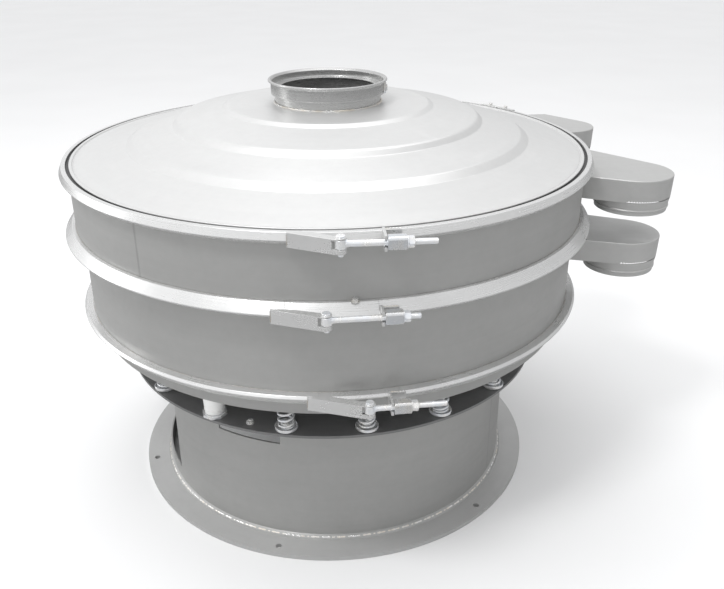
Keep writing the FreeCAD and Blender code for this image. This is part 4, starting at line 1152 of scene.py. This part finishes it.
# ---------------------------------------------------------------- motor details
g = Geo()
for i in range(8):
    c_ = P(130.0, 22.5 + 45 * i)
    hexpart(g, 19.0, 7.4, xform((c_[0], c_[1], 426.0)), spin=i * 20)
    hexpart(g, 19.0, 9.8, xform((c_[0], c_[1], 408.0)) @ DOWN, bore=6.0, chamfer=(True, True), spin=i * 33)
    shank(g, 5.95, -426.0, -408.0, xform((c_[0], c_[1], 0)) @ DOWN, thread=(-408.0, -396.2), pitch=1.75, sides=18)
g.obj("flange_bolts", ZINC, "sieve", "bright_zinc", ["motor_bolts"])
g = Geo()
for z0_, az in ((524.0, 60.0), (186.0, 105.0)):
    q = P(33.9, az + 180, z0_ + 12)
    hexpart(g, 13.0, 5.2, xform(tuple(P(50.0, az + 180, z0_ + 12)), tuple(P(1, az + 180)), (0, 0, 1)), spin=0)
    shank(g, 3.95, 0.0, 16.0, xform(tuple(q), tuple(P(1, az + 180)), (0, 0, 1)), sides=16)
g.obj("clamp_screws", ZINC, "rotor", "bright_zinc", ["weight_screws"])
g = Geo()
gx, gy, gz = 22.0, 118.0, 305.0
hexpart(g, 24.0, 8.0, xform((gx, gy, gz - 8)), bore=5.6, chamfer=(True, True))
lathe(g, [(5.6, gz - 22, 0.5), (8.6, gz - 22, 1.5), (9.5, gz - 17, 1.0), (9.5, gz - 8.5, 0.5), (5.6, gz - 8.5, 0.2)], xf=xform((gx, gy, 0)), n=36)
for k in range(12):
    t_ = math.radians(30 * k)
    box(g, (-0.5, 9.0, gz - 16.5), (0.5, 9.9, gz - 9.5), 0.2, 1, xform((gx, gy, 0), (0, 0, 1), (math.cos(t_), math.sin(t_), 0)))
g.obj("gland_body", ZINC, "sieve", "bright_zinc", ["cable_gland"])

# ---------------------------------------------------------------- stage, light, camera
bm = bmesh.new()
bmesh.ops.create_circle(bm, cap_ends=True, cap_tris=False, radius=40.0, segments=96)
me = bpy.data.meshes.new("floor")
bm.to_mesh(me)
bm.free()
floor = bpy.data.objects.new("floor", me)
bpy.context.scene.collection.objects.link(floor)
floor.location.z = -0.0005
fm = Mat("floor_paint")
fm.link(fm.mix(fm.remap(fm.noise(fm.tc, 1.5, 3.0), 0.3, 0.7, 0, 1), (0.90, 0.90, 0.90), (0.92, 0.92, 0.92)), fm.b.inputs["Base Color"])
fm.b.inputs["Roughness"].default_value = 0.9
fm.b.inputs["Specular IOR Level"].default_value = 0.1
me.materials.append(fm.m)

bm = bmesh.new()
bmesh.ops.create_circle(bm, cap_ends=True, cap_tris=False, radius=39.0, segments=96)
me = bpy.data.meshes.new("flag")
bm.to_mesh(me)
bm.free()
flag = bpy.data.objects.new("flag", me)
bpy.context.scene.collection.objects.link(flag)
flag.location.z = -0.0003
flag.visible_camera = False
flag.visible_diffuse = False
flag.visible_shadow = False
flag.visible_transmission = False
gm = Mat("flag_paint")
gm.link(gm.mix(gm.remap(gm.noise(gm.tc, 0.9, 3.0), 0.3, 0.7, 0, 1), (0.30, 0.30, 0.30), (0.42, 0.42, 0.42)), gm.b.inputs["Base Color"])
gm.b.inputs["Roughness"].default_value = 0.9
gm.b.inputs["Specular IOR Level"].default_value = 0.1
me.materials.append(gm.m)

world = bpy.data.worlds.new("studio")
bpy.context.scene.world = world
world.use_nodes = True
wt = world.node_tree
bg = wt.nodes["Background"]
wx = wt.nodes.new("ShaderNodeTexCoord")
ws = wt.nodes.new("ShaderNodeSeparateXYZ")
wt.links.new(wx.outputs["Generated"], ws.inputs[0])


def w_range(src, a_, b_, c_, d_):
    n = wt.nodes.new("ShaderNodeMapRange")
    wt.links.new(src, n.inputs["Value"])
    for k_, q_ in zip(("From Min", "From Max", "To Min", "To Max"), (a_, b_, c_, d_)):
        n.inputs[k_].default_value = q_
    return n.outputs[0]


w_side = w_range(ws.outputs[0], -0.8, 0.9, 1.04, 0.72)
w_high = w_range(ws.outputs[2], 0.0, 0.8, 0.92, 1.08)
w_mul = wt.nodes.new("ShaderNodeMath")
w_mul.operation = "MULTIPLY"
wt.links.new(w_side, w_mul.inputs[0])
wt.links.new(w_high, w_mul.inputs[1])
bg.inputs["Color"].default_value = (0.985, 0.99, 1.0, 1)
wt.links.new(w_mul.outputs[0], bg.inputs["Strength"])


def area(name, loc, target, sx, sy, power, color=(1, 1, 1)):
    l = bpy.data.lights.new(name, "AREA")
    l.shape = "RECTANGLE"
    l.size, l.size_y = sx, sy
    l.energy = power
    l.color = color
    o = bpy.data.objects.new(name, l)
    bpy.context.scene.collection.objects.link(o)
    o.location = loc
    o.rotation_euler = (Vector(target) - Vector(loc)).to_track_quat("-Z", "Y").to_euler()
    return o


area("key", (-1.5, -1.9, 4.4), (0, 0, 0.6), 0.9, 0.9, 62)
area("top", (0.3, 0.6, 4.2), (0, 0, 0.5), 3.5, 3.0, 40)
area("left_strip", (-3.6, 0.4, 1.4), (0, 0, 0.6), 0.9, 2.2, 20)

cam = bpy.data.cameras.new("cam")
cam.sensor_fit = "HORIZONTAL"
cam.sensor_width = 36.0
cam.lens = 39.94
cam.dof.use_dof = False
co = bpy.data.objects.new("cam", cam)
bpy.context.scene.collection.objects.link(co)
pan, tilt, roll = 0.0408, 0.4363, -0.0045
fwd = Vector((math.sin(pan) * math.cos(tilt), math.cos(pan) * math.cos(tilt), -math.sin(tilt)))
right = fwd.cross(Vector((0, 0, 1))).normalized()
up = right.cross(fwd).normalized()
r2 = right * math.cos(roll) + up * math.sin(roll)
u2 = up * math.cos(roll) - right * math.sin(roll)
m4 = Matrix((( r2.x, u2.x, -fwd.x, 0.0), (r2.y, u2.y, -fwd.y, -1.8489), (r2.z, u2.z, -fwd.z, 1.2721), (0, 0, 0, 1)))
co.matrix_world = m4
bpy.context.scene.camera = co
vs = bpy.context.scene.view_settings
vs.view_transform = "Standard"
vs.look = "None"
vs.exposure = 0.0
vs.gamma = 1.0
